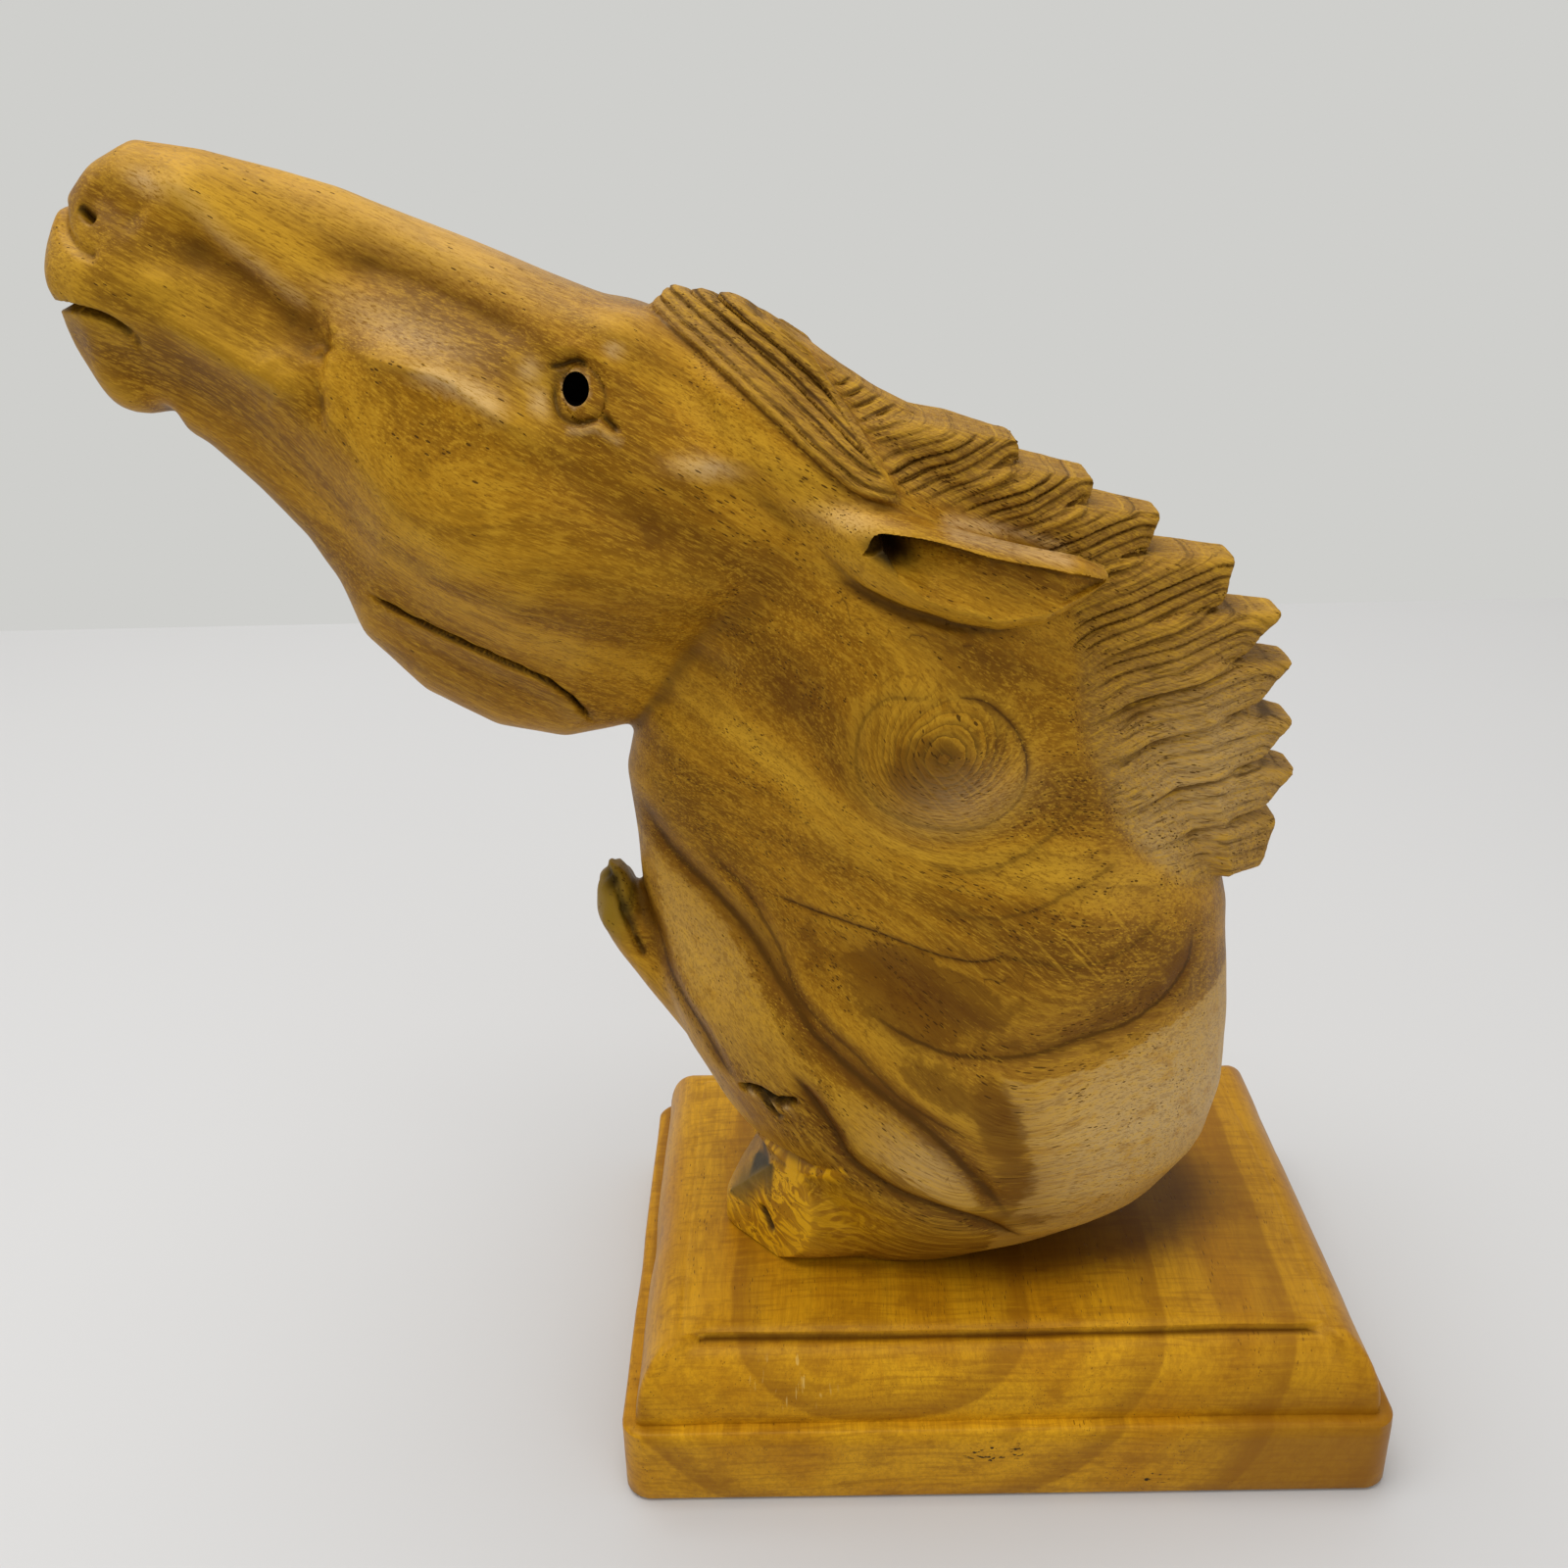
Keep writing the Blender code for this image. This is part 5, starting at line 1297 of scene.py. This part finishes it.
def add_node(tree, kind, feeds=None, **settings):
    """Add a shader node, its sockets fed by other sockets or set to values."""
    made = tree.nodes.new("ShaderNode" + kind)
    for key, value in settings.items():
        setattr(made, key, value)
    for name, value in (feeds or {}).items():
        if isinstance(value, bpy.types.NodeSocket):
            tree.links.new(value, made.inputs[name])
        else:
            made.inputs[name].default_value = value
    return made


def calc(tree, operation, *values):
    """The result of a Math node."""
    return add_node(tree, "Math", dict(enumerate(values)), operation=operation).outputs[0]


def times(tree, a, b):
    return calc(tree, "MULTIPLY", a, b)


def plus(tree, a, b):
    return calc(tree, "ADD", a, b)


def minus(tree, a, b):
    return calc(tree, "SUBTRACT", a, b)


def soft_step(tree, value, low, high):
    """0 below low, 1 above high, and a smooth rise between. low may be the higher one."""
    feeds = {"Value": value, "From Min": low, "From Max": high}
    return add_node(tree, "MapRange", feeds, interpolation_type="SMOOTHSTEP").outputs["Result"]


def tint(tree, share, colour, other, most=1.0):
    """colour, turned into the other colour by the share of the most that it may turn."""
    if most != 1.0:
        share = times(tree, share, most)
    made = add_node(tree, "Mix", {0: share, 6: colour, 7: other}, data_type="RGBA")
    made.clamp_factor = True
    return made.outputs[2]


def vector_calc(tree, operation, a, b):
    """The result of a Vector Math node."""
    return add_node(tree, "VectorMath", {0: a, 1: b}, operation=operation).outputs[0]


def stretched(tree, vector, scale):
    """A vector with each axis counted in its own measure."""
    return vector_calc(tree, "MULTIPLY", vector, scale)


def axes(tree, vector):
    """The three numbers of a vector."""
    return add_node(tree, "SeparateXYZ", {0: vector}).outputs


def noise(tree, vector, scale, detail=2.0, roughness=0.5):
    """A noise value from 0 to 1 on a stretched vector."""
    feeds = {"Vector": stretched(tree, vector, scale), "Scale": 1.0, "Detail": detail, "Roughness": roughness}
    return add_node(tree, "TexNoise", feeds).outputs["Fac"]


def new_group(name, inputs, outputs):
    """An empty node group with named sockets: the group, its input node and its output node."""
    group = bpy.data.node_groups.new(name, "ShaderNodeTree")
    for socket, kind in inputs.items():
        group.interface.new_socket(socket, in_out="INPUT", socket_type="NodeSocket" + kind)
    for socket, kind in outputs.items():
        group.interface.new_socket(socket, in_out="OUTPUT", socket_type="NodeSocket" + kind)
    return group, group.nodes.new("NodeGroupInput"), group.nodes.new("NodeGroupOutput")


def dashes(group, grain, scale, crowd_scale, share, rarity, seed):
    """Short strokes along the grain, crowded in some places and rare in others."""
    cells = add_node(group, "TexVoronoi", {"Vector": stretched(group, grain, scale), "Scale": 1.0,
                                           "Randomness": 1.0}, feature="F1")
    draws = add_node(group, "SeparateColor", {0: cells.outputs["Color"]}).outputs
    size = plus(group, times(group, draws[0], 0.22), 0.12)
    dots = soft_step(group, cells.outputs["Distance"], plus(group, size, 0.1), size)
    place = vector_calc(group, "ADD", grain, (seed, seed, seed))
    crowd = noise(group, place, crowd_scale, detail=3.0, roughness=0.6)
    crowd = soft_step(group, crowd, rarity, rarity + 0.24)
    return times(group, dots, calc(group, "LESS_THAN", draws[1], times(group, share, crowd)))


def wood_figure():
    """Rings, fibres and pores of a wood, from places counted along and across its fibres."""
    group, given, made = new_group(
        "wood_figure", {"Fibres": "Vector", "Grain": "Vector", "Ring Width": "Float", "Pore Share": "Float"},
        {"Clouds": "Float", "Rings": "Float", "Streaks": "Float", "Flecks": "Float", "Pores": "Float",
         "Dashes": "Float"})
    fibres = given.outputs["Fibres"]
    grain = given.outputs["Grain"]
    clouds = noise(group, fibres, (0.012, 0.085, 0.05), detail=3.0)
    bend = noise(group, fibres, (0.022, 0.05, 0.05), detail=3.0)
    across = axes(group, fibres)[1]
    phase = plus(group, calc(group, "DIVIDE", across, given.outputs["Ring Width"]), times(group, bend, 3.2))
    saw = calc(group, "FRACT", phase)
    rise = calc(group, "POWER", saw, 2.6)
    rings = times(group, rise, soft_step(group, saw, 1.0, 0.88))
    streaks = noise(group, fibres, (0.09, 1.1, 1.1), detail=5.0, roughness=0.6)
    flecks = noise(group, grain, (0.5, 3.2, 3.2), detail=4.0, roughness=0.7)
    pores = dashes(group, grain, (0.62, 3.0, 3.0), (0.045, 0.2, 0.2), given.outputs["Pore Share"], 0.46, 0.0)
    light = dashes(group, grain, (0.45, 3.2, 3.2), (0.06, 0.16, 0.16), 1.0, 0.42, 40.0)
    for name, socket in (("Clouds", clouds), ("Rings", rings), ("Streaks", streaks), ("Flecks", flecks),
                         ("Pores", pores), ("Dashes", light)):
        group.links.new(socket, made.inputs[name])
    return group


FIGURE = wood_figure()

DEEP_BROWN = (0.150, 0.057, 0.002, 1.0)
OCHRE = (0.350, 0.150, 0.004, 1.0)
GOLD = (0.600, 0.325, 0.022, 1.0)
HEARTWOOD_AND_SHADE = (0.100, 0.030, 0.001, 1.0)
SAPWOOD_AND_HIGHLIGHT = (0.540, 0.360, 0.150, 1.0)
YELLOW_WOOD = (0.720, 0.370, 0.006, 1.0)
RAW_WOOD = (0.290, 0.150, 0.026, 1.0)
BARK_OLIVE = (0.100, 0.070, 0.008, 1.0)
TOE_GREY = (0.034, 0.024, 0.008, 1.0)
PORE_BROWN = (0.045, 0.015, 0.001, 1.0)
STAIN_AND_SHADE_BLACK = (0.010, 0.004, 0.001, 1.0)
PALE_SHEEN_AND_WEAR = (0.680, 0.470, 0.240, 1.0)
WARM_GLOSS = (1.0, 0.72, 0.28, 1.0)


def new_material(name, **sockets):
    """A material with a Principled shader whose plain sockets are set."""
    material = bpy.data.materials.new(name)
    material.use_nodes = True
    shader = material.node_tree.nodes["Principled BSDF"]
    for socket, value in sockets.items():
        shader.inputs[socket.replace("_", " ")].default_value = value
    return material, material.node_tree, shader


def painted(tree, name, output="Fac"):
    """A layer that is stored on the mesh."""
    return add_node(tree, "Attribute", attribute_name=name).outputs[output]


def draw_veins_and_shade_lines(tree, body, jitter):
    """Every layer of veins and painted shade lines: a thin dark core in a soft brown halo."""
    for number in range(len(VEIN_AND_SHADE_LINE_LAYERS)):
        place = painted(tree, f"veins_{number}", "Vector")
        parts = axes(tree, place)
        away = calc(tree, "ABSOLUTE", plus(tree, parts[0], times(tree, jitter, 0.9)))
        halo = times(tree, soft_step(tree, away, 2.4, 0.0), parts[1])
        core = times(tree, soft_step(tree, away, 0.5, 0.12), parts[1])
        body = tint(tree, halo, body, HEARTWOOD_AND_SHADE, most=0.65)
        body = tint(tree, core, body, PORE_BROWN, most=0.8)
    return body


def carving_wood():
    """Waxed fruit wood, golden to brown, raw where the mane is cut."""
    material, tree, shader = new_material("carving_wood", Specular_IOR_Level=0.26, Specular_Tint=WARM_GLOSS)
    fibres = painted(tree, "fibres", "Vector")
    grain = painted(tree, "grain", "Vector")
    jitter = minus(tree, noise(tree, fibres, (0.3, 0.9, 0.9), detail=3.0, roughness=0.6), 0.5)
    edge = plus(tree, painted(tree, "pale_edge"), times(tree, jitter, 6.0))
    pale = soft_step(tree, edge, -0.3, 0.8)
    share = minus(tree, 0.75, times(tree, painted(tree, "smooth"), 0.6))
    share = minus(tree, share, times(tree, pale, 0.4))
    figure = add_node(tree, "Group", {"Fibres": fibres, "Grain": grain, "Ring Width": 5.4,
                                      "Pore Share": share}, node_tree=FIGURE).outputs
    narrow = painted(tree, "narrow_hollow")
    broad = painted(tree, "broad_hollow")
    raw = painted(tree, "rough_cut")
    dark_wood_and_shade = painted(tree, "heartwood_and_shade")

    body = tint(tree, soft_step(tree, figure["Clouds"], 0.34, 0.62), DEEP_BROWN, OCHRE)
    body = tint(tree, soft_step(tree, figure["Clouds"], 0.48, 0.76), body, GOLD, most=0.8)
    body = tint(tree, figure["Rings"], body, DEEP_BROWN, most=0.55)
    across = axes(tree, fibres)[1]
    ring = calc(tree, "FRACT", plus(tree, times(tree, across, 0.55), times(tree, jitter, 0.8)))
    ring = times(tree, times(tree, ring, ring), painted(tree, "knot"))

    # Golden rings, and painted highlights on the muzzle and nose
    body = tint(tree, painted(tree, "golden"), body, GOLD, most=0.8)
    body = tint(tree, pale, body, GOLD, most=0.4)
    pale_or_raw = calc(tree, "MAXIMUM", pale, raw)
    body = tint(tree, raw, body, RAW_WOOD, most=0.75)
    # Pale sapwood, with the painted highlight along the top of the forehead and nose
    soft_pale = times(tree, painted(tree, "sapwood_and_highlight"), plus(tree, 0.2, times(tree, pale_or_raw, 0.8)))
    body = tint(tree, soft_pale, body, SAPWOOD_AND_HIGHLIGHT)
    mottle = noise(tree, grain, (0.14, 0.3, 0.3), detail=4.0, roughness=0.65)
    mottle = times(tree, soft_step(tree, mottle, 0.48, 0.30), pale)
    body = tint(tree, mottle, body, OCHRE, most=0.5)

    light = calc(tree, "MAXIMUM", times(tree, soft_step(tree, figure["Streaks"], 0.48, 0.66), 0.4),
                 times(tree, soft_step(tree, figure["Flecks"], 0.51, 0.64), 0.5))
    body = tint(tree, light, body, GOLD)
    dark = calc(tree, "MAXIMUM", times(tree, soft_step(tree, figure["Streaks"], 0.48, 0.34), 0.35),
                times(tree, soft_step(tree, figure["Flecks"], 0.49, 0.36), 0.6))
    body = tint(tree, dark, body, DEEP_BROWN)
    # Heartwood, with painted shade along the nose's hollow and channel, round the nostril and under the ear
    ragged = minus(tree, noise(tree, grain, (0.16, 0.24, 0.24), detail=5.0, roughness=0.65), 0.5)
    crisp = soft_step(tree, plus(tree, dark_wood_and_shade, times(tree, ragged, 1.3)), 0.42, 0.60)
    dark_wood_and_shade = plus(tree, times(tree, dark_wood_and_shade, 0.5), times(tree, crisp, 0.4))
    dark_wood_and_shade = times(tree, dark_wood_and_shade, plus(tree, figure["Streaks"], figure["Flecks"]))
    body = tint(tree, dark_wood_and_shade, body, HEARTWOOD_AND_SHADE)
    body = tint(tree, ring, body, PORE_BROWN, most=0.8)
    # Veins, and painted shade lines along the ear's crease and the forelock's edge
    body = draw_veins_and_shade_lines(tree, body, jitter)
    light = times(tree, figure["Dashes"], minus(tree, 0.38, times(tree, dark_wood_and_shade, 0.3)))
    body = tint(tree, light, body, GOLD)

    warp = add_node(tree, "TexNoise", {"Vector": stretched(tree, fibres, (0.16, 0.16, 0.16)), "Scale": 1.0,
                                       "Detail": 1.0}).outputs["Color"]
    warp = vector_calc(tree, "ADD", fibres, stretched(tree, warp, (9.0, 9.0, 9.0)))
    wave = noise(tree, warp, (0.10, 0.62, 0.62), detail=2.0)
    toe = tint(tree, soft_step(tree, wave, 0.42, 0.58), OCHRE, YELLOW_WOOD)
    body = tint(tree, painted(tree, "yellow_wood"), body, toe, most=0.95)
    body = tint(tree, painted(tree, "bark"), body, BARK_OLIVE)
    body = tint(tree, painted(tree, "toe_shade"), body, TOE_GREY)
    # Painted highlights on crests and rims, and the pale chips beside the crack
    sheen_and_wear = times(tree, painted(tree, "sheen_and_wear"), soft_step(tree, figure["Flecks"], 0.30, 0.52))
    body = tint(tree, sheen_and_wear, body, PALE_SHEEN_AND_WEAR, most=0.75)
    # Painted highlight on proud parts, and painted shade in broad hollows and in narrow creases, from how
    # deep each point lies
    body = tint(tree, soft_step(tree, broad, -0.1, -0.9), body, GOLD, most=0.3)
    body = tint(tree, soft_step(tree, broad, 0.12, 0.9), body, DEEP_BROWN, most=0.55)
    body = tint(tree, soft_step(tree, narrow, 0.05, 0.3), body, PORE_BROWN, most=0.5)

    strands = painted(tree, "strands")
    along = axes(tree, fibres)[0]
    thread = add_node(tree, "CombineXYZ", {0: strands, 1: along}).outputs[0]
    threads = noise(tree, thread, (4.0, 0.16, 1.0), detail=3.0, roughness=0.65)
    body = tint(tree, times(tree, soft_step(tree, threads, 0.46, 0.30), raw), body, PORE_BROWN, most=0.7)
    body = tint(tree, times(tree, soft_step(tree, threads, 0.54, 0.70), raw), body, GOLD, most=0.5)
    # Painted shade in the chisel cut beside each strand
    strand = calc(tree, "FRACT", plus(tree, strands, times(tree, jitter, 0.12)))
    from_cut = calc(tree, "MINIMUM", strand, minus(tree, 1.0, strand))
    cut = times(tree, soft_step(tree, from_cut, 0.22, 0.03), painted(tree, "strand_depth"))
    body = tint(tree, cut, body, PORE_BROWN, most=0.7)

    turned = add_node(tree, "Mapping", {"Vector": add_node(tree, "TexCoord").outputs["Object"],
                                        "Rotation": (0.0, math.radians(-49.0), 0.0)}).outputs[0]
    scrape = noise(tree, turned, (40.0, 1400.0, 1900.0), detail=2.0)
    scrape = times(tree, soft_step(tree, scrape, 0.54, 0.70), painted(tree, "scraped"))
    body = tint(tree, scrape, body, GOLD, most=0.4)
    body = tint(tree, figure["Pores"], body, PORE_BROWN, most=0.85)
    # Near black in cracks and holes, and painted shade in the mouth, nostrils, eye creases and the ear's hole
    body = tint(tree, painted(tree, "stain_and_shade"), body, STAIN_AND_SHADE_BLACK)
    tree.links.new(body, shader.inputs["Base Color"])

    rough = plus(tree, times(tree, raw, 0.2), times(tree, figure["Flecks"], 0.2))
    rough = plus(tree, plus(tree, rough, times(tree, figure["Pores"], 0.2)), 0.34)
    tree.links.new(rough, shader.inputs["Roughness"])
    height = minus(tree, times(tree, figure["Flecks"], 0.6), figure["Pores"])
    height = plus(tree, height, times(tree, figure["Streaks"], 0.4))
    height = times(tree, height, plus(tree, 1.0, times(tree, raw, 2.2)))
    height = plus(tree, height, times(tree, times(tree, threads, raw), 3.0))
    height = minus(tree, height, cut)
    bump = add_node(tree, "Bump", {"Strength": 0.6, "Distance": 0.00016, "Height": height})
    tree.links.new(bump.outputs["Normal"], shader.inputs["Normal"])
    return material


def pupil_black():
    """The near black inside of the drilled pupils."""
    material, tree, shader = new_material("pupil_black", Roughness=0.8, Specular_IOR_Level=0.0)
    place = add_node(tree, "TexCoord").outputs["Object"]
    pupil_speckle = noise(tree, place, (1500.0, 1500.0, 1500.0), detail=3.0)
    tree.links.new(tint(tree, pupil_speckle, (0.003, 0.002, 0.002, 1.0), (0.001, 0.001, 0.001, 1.0)),
                   shader.inputs["Base Color"])
    return material


RING_CENTRE = (-0.021, 0.0, 0.046)
FIRST_RING = 0.0115
RING_PITCH = 0.0207
PLINTH_GOLD = (0.640, 0.320, 0.008, 1.0)
PLINTH_ORANGE = (0.470, 0.205, 0.004, 1.0)
PLINTH_PALE = (0.760, 0.520, 0.160, 1.0)
PLINTH_BROWN = (0.240, 0.090, 0.003, 1.0)
PLINTH_SHADE = (0.060, 0.016, 0.001, 1.0)
# Where the painted shadow lies on the plinth's top round the carving's foot: its centre and reach
FOOT_CENTRE = (0.006, -0.001, PLINTH_HIGH[2])
FOOT_REACH = (0.038, 0.023, 0.010)
PITS = [((-0.002, -0.047, 0.0095), (0.007, 0.010, 0.0030)), ((0.025, -0.047, 0.0035), (0.003, 0.010, 0.0015))]
SCRATCHES = ((-0.036, -0.044, 0.0215), (0.009, 0.012, 0.0050))


def from_spot(tree, place, centre, reach):
    """Distance from a place, counted in the reach of an oval along each axis."""
    offset = vector_calc(tree, "SUBTRACT", place, centre)
    counted = vector_calc(tree, "DIVIDE", offset, reach)
    return add_node(tree, "VectorMath", {0: counted}, operation="LENGTH").outputs["Value"]


def plinth_wood():
    """Flat sawn wood with its growth rings standing round an axis that runs front to back."""
    material, tree, shader = new_material("plinth_wood", Specular_IOR_Level=0.35, Specular_Tint=WARM_GLOSS)
    place = add_node(tree, "TexCoord").outputs["Object"]
    wander = add_node(tree, "TexNoise", {"Vector": place, "Scale": 22.0, "Detail": 2.0}).outputs["Color"]
    wander = stretched(tree, vector_calc(tree, "SUBTRACT", wander, (0.5, 0.5, 0.5)), (0.006, 0.006, 0.006))
    place = vector_calc(tree, "ADD", place, wander)
    offset = vector_calc(tree, "SUBTRACT", place, RING_CENTRE)
    parts = axes(tree, offset)
    radius = plus(tree, times(tree, parts[0], parts[0]), times(tree, parts[2], parts[2]))
    radius = calc(tree, "SQRT", radius)
    angle = calc(tree, "ARCTAN2", parts[0], parts[2])
    fibres = add_node(tree, "CombineXYZ", {0: times(tree, parts[1], MILLIMETRES),
                                           1: times(tree, radius, MILLIMETRES),
                                           2: times(tree, angle, 45.0)}).outputs[0]
    figure = add_node(tree, "Group", {"Fibres": fibres, "Grain": fibres, "Ring Width": 4.2,
                                      "Pore Share": 0.3}, node_tree=FIGURE).outputs
    turn = calc(tree, "FRACT", calc(tree, "DIVIDE", minus(tree, radius, FIRST_RING), RING_PITCH))
    band = times(tree, soft_step(tree, turn, 0.66, 0.93), soft_step(tree, turn, 1.0, 0.96))
    body = tint(tree, soft_step(tree, figure["Clouds"], 0.35, 0.65), PLINTH_ORANGE, PLINTH_GOLD)
    body = tint(tree, band, body, PLINTH_BROWN, most=0.6)
    body = tint(tree, figure["Rings"], body, PLINTH_BROWN, most=0.16)
    mottle = noise(tree, place, (140.0, 140.0, 240.0), detail=5.0, roughness=0.65)
    body = tint(tree, soft_step(tree, mottle, 0.50, 0.34), body, PLINTH_BROWN, most=0.45)
    sawn = noise(tree, place, (70.0, 900.0, 1500.0), detail=3.0, roughness=0.6)
    body = tint(tree, soft_step(tree, sawn, 0.50, 0.36), body, PLINTH_BROWN, most=0.35)
    body = tint(tree, soft_step(tree, sawn, 0.54, 0.68), body, PLINTH_GOLD, most=0.3)
    body = tint(tree, soft_step(tree, figure["Streaks"], 0.60, 0.36), body, PLINTH_BROWN, most=0.3)
    body = tint(tree, soft_step(tree, figure["Flecks"], 0.56, 0.36), body, PLINTH_BROWN, most=0.2)
    body = tint(tree, figure["Pores"], body, PORE_BROWN, most=0.6)
    end = axes(tree, place)
    low = times(tree, soft_step(tree, end[0], 0.028, 0.044), soft_step(tree, end[2], 0.021, 0.014))
    body = tint(tree, low, body, PLINTH_BROWN, most=0.6)
    body = tint(tree, soft_step(tree, end[0], 0.015, 0.045), body, PLINTH_BROWN, most=0.35)
    chips = noise(tree, place, (700.0, 700.0, 1500.0), detail=2.0)
    for centre, reach in PITS:
        pits = soft_step(tree, from_spot(tree, place, centre, reach), 1.0, 0.7)
        pits = times(tree, soft_step(tree, chips, 0.42, 0.36), pits)
        body = tint(tree, pits, body, STAIN_AND_SHADE_BLACK)
    marks = noise(tree, place, (1300.0, 300.0, 260.0), detail=2.0)
    marks = soft_step(tree, marks, 0.60, 0.68)
    marks = times(tree, marks, soft_step(tree, from_spot(tree, place, *SCRATCHES), 1.0, 0.6))
    body = tint(tree, marks, body, PLINTH_PALE, most=0.4)
    # Painted shadow on the plinth's top round the carving's foot
    under = soft_step(tree, from_spot(tree, place, FOOT_CENTRE, FOOT_REACH), 1.2, 0.8)
    body = tint(tree, under, body, PLINTH_SHADE, most=0.8)
    # Darker along the groove at the foot of the front step
    body = tint(tree, painted(tree, "step_foot_dark"), body, PLINTH_SHADE, most=0.8)
    tree.links.new(body, shader.inputs["Base Color"])
    rough = plus(tree, 0.32, times(tree, figure["Flecks"], 0.2))
    tree.links.new(rough, shader.inputs["Roughness"])
    height = minus(tree, times(tree, figure["Flecks"], 0.3), figure["Pores"])
    bump = add_node(tree, "Bump", {"Strength": 0.4, "Distance": 0.0001, "Height": height})
    tree.links.new(bump.outputs["Normal"], shader.inputs["Normal"])
    return material


# Floor, light and camera

TABLE_HALF_WIDTH = 2.0
TABLE_BACK = 0.44
TABLE_FRONT = -1.6
TABLE_DROP = 0.0002
PAPER_WHITE = (0.60, 0.595, 0.595, 1.0)
PAPER_SHADE = (0.575, 0.57, 0.575, 1.0)
WALL_GREY = (0.78, 0.78, 0.755, 1.0)
WALL_STRENGTH = 0.8

# Each light's name, place, width and power, and where all of them point
LIGHTS = [("ceiling_light", (-0.25, 0.05, 1.1), 0.9, 9.0), ("window_light", (0.5, -1.0, 0.7), 0.8, 2.0)]
LIGHT_AIM = Vector((-0.03, 0.0, 0.10))

# The camera's place, its turns in degrees, and its lens and film width in millimetres
CAMERA_PLACE = (-0.0324, -0.2412, 0.2202)
CAMERA_SWING = 0.72
CAMERA_DOWN = 24.1
CAMERA_ROLL = -1.44
LENS = 36.0
FILM_WIDTH = 36.0
NEAREST_SEEN = 0.005


def make_table():
    """A pale table top that ends behind the object."""
    bm = bmesh.new()
    bmesh.ops.create_grid(bm, x_segments=1, y_segments=1, size=1.0)
    for vert in bm.verts:
        x, y, _ = vert.co
        vert.co = (TABLE_HALF_WIDTH * x, TABLE_BACK if y > 0.0 else TABLE_FRONT, -TABLE_DROP)
    table = new_piece("table_top", bm)
    material, tree, shader = new_material("table_white", Roughness=0.55)
    place = add_node(tree, "TexCoord").outputs["Object"]
    cloud = noise(tree, place, (4.0, 4.0, 4.0), detail=2.0)
    tree.links.new(tint(tree, cloud, PAPER_WHITE, PAPER_SHADE), shader.inputs["Base Color"])
    table.data.materials.append(material)


def light_room():
    """A pale room with one broad soft light overhead and a weak one in front."""
    world = bpy.data.worlds.new("pale_room")
    bpy.context.scene.world = world
    world.use_nodes = True
    background = world.node_tree.nodes["Background"]
    background.inputs["Color"].default_value = WALL_GREY
    background.inputs["Strength"].default_value = WALL_STRENGTH
    for name, place, width, power in LIGHTS:
        data = bpy.data.lights.new(name, "AREA")
        data.size = width
        data.energy = power
        lamp = bpy.data.objects.new(name, data)
        bpy.context.scene.collection.objects.link(lamp)
        lamp.location = place
        lamp.rotation_euler = (LIGHT_AIM - Vector(place)).to_track_quat("-Z", "Y").to_euler()


def set_camera():
    """A camera where the photograph was taken from."""
    data = bpy.data.cameras.new("camera")
    data.lens = LENS
    data.sensor_width = FILM_WIDTH
    data.clip_start = NEAREST_SEEN
    camera = bpy.data.objects.new("camera", data)
    bpy.context.scene.collection.objects.link(camera)
    swing = Matrix.Rotation(math.radians(CAMERA_SWING), 4, "Z")
    tilt = Matrix.Rotation(math.radians(90.0 - CAMERA_DOWN), 4, "X")
    roll = Matrix.Rotation(math.radians(CAMERA_ROLL), 4, "Z")
    camera.matrix_world = Matrix.Translation(CAMERA_PLACE) @ swing @ tilt @ roll
    bpy.context.scene.camera = camera


def main():
    bpy.context.scene.view_settings.view_transform = "Standard"
    make_horse()
    make_plinth()
    make_table()
    light_room()
    set_camera()


main()
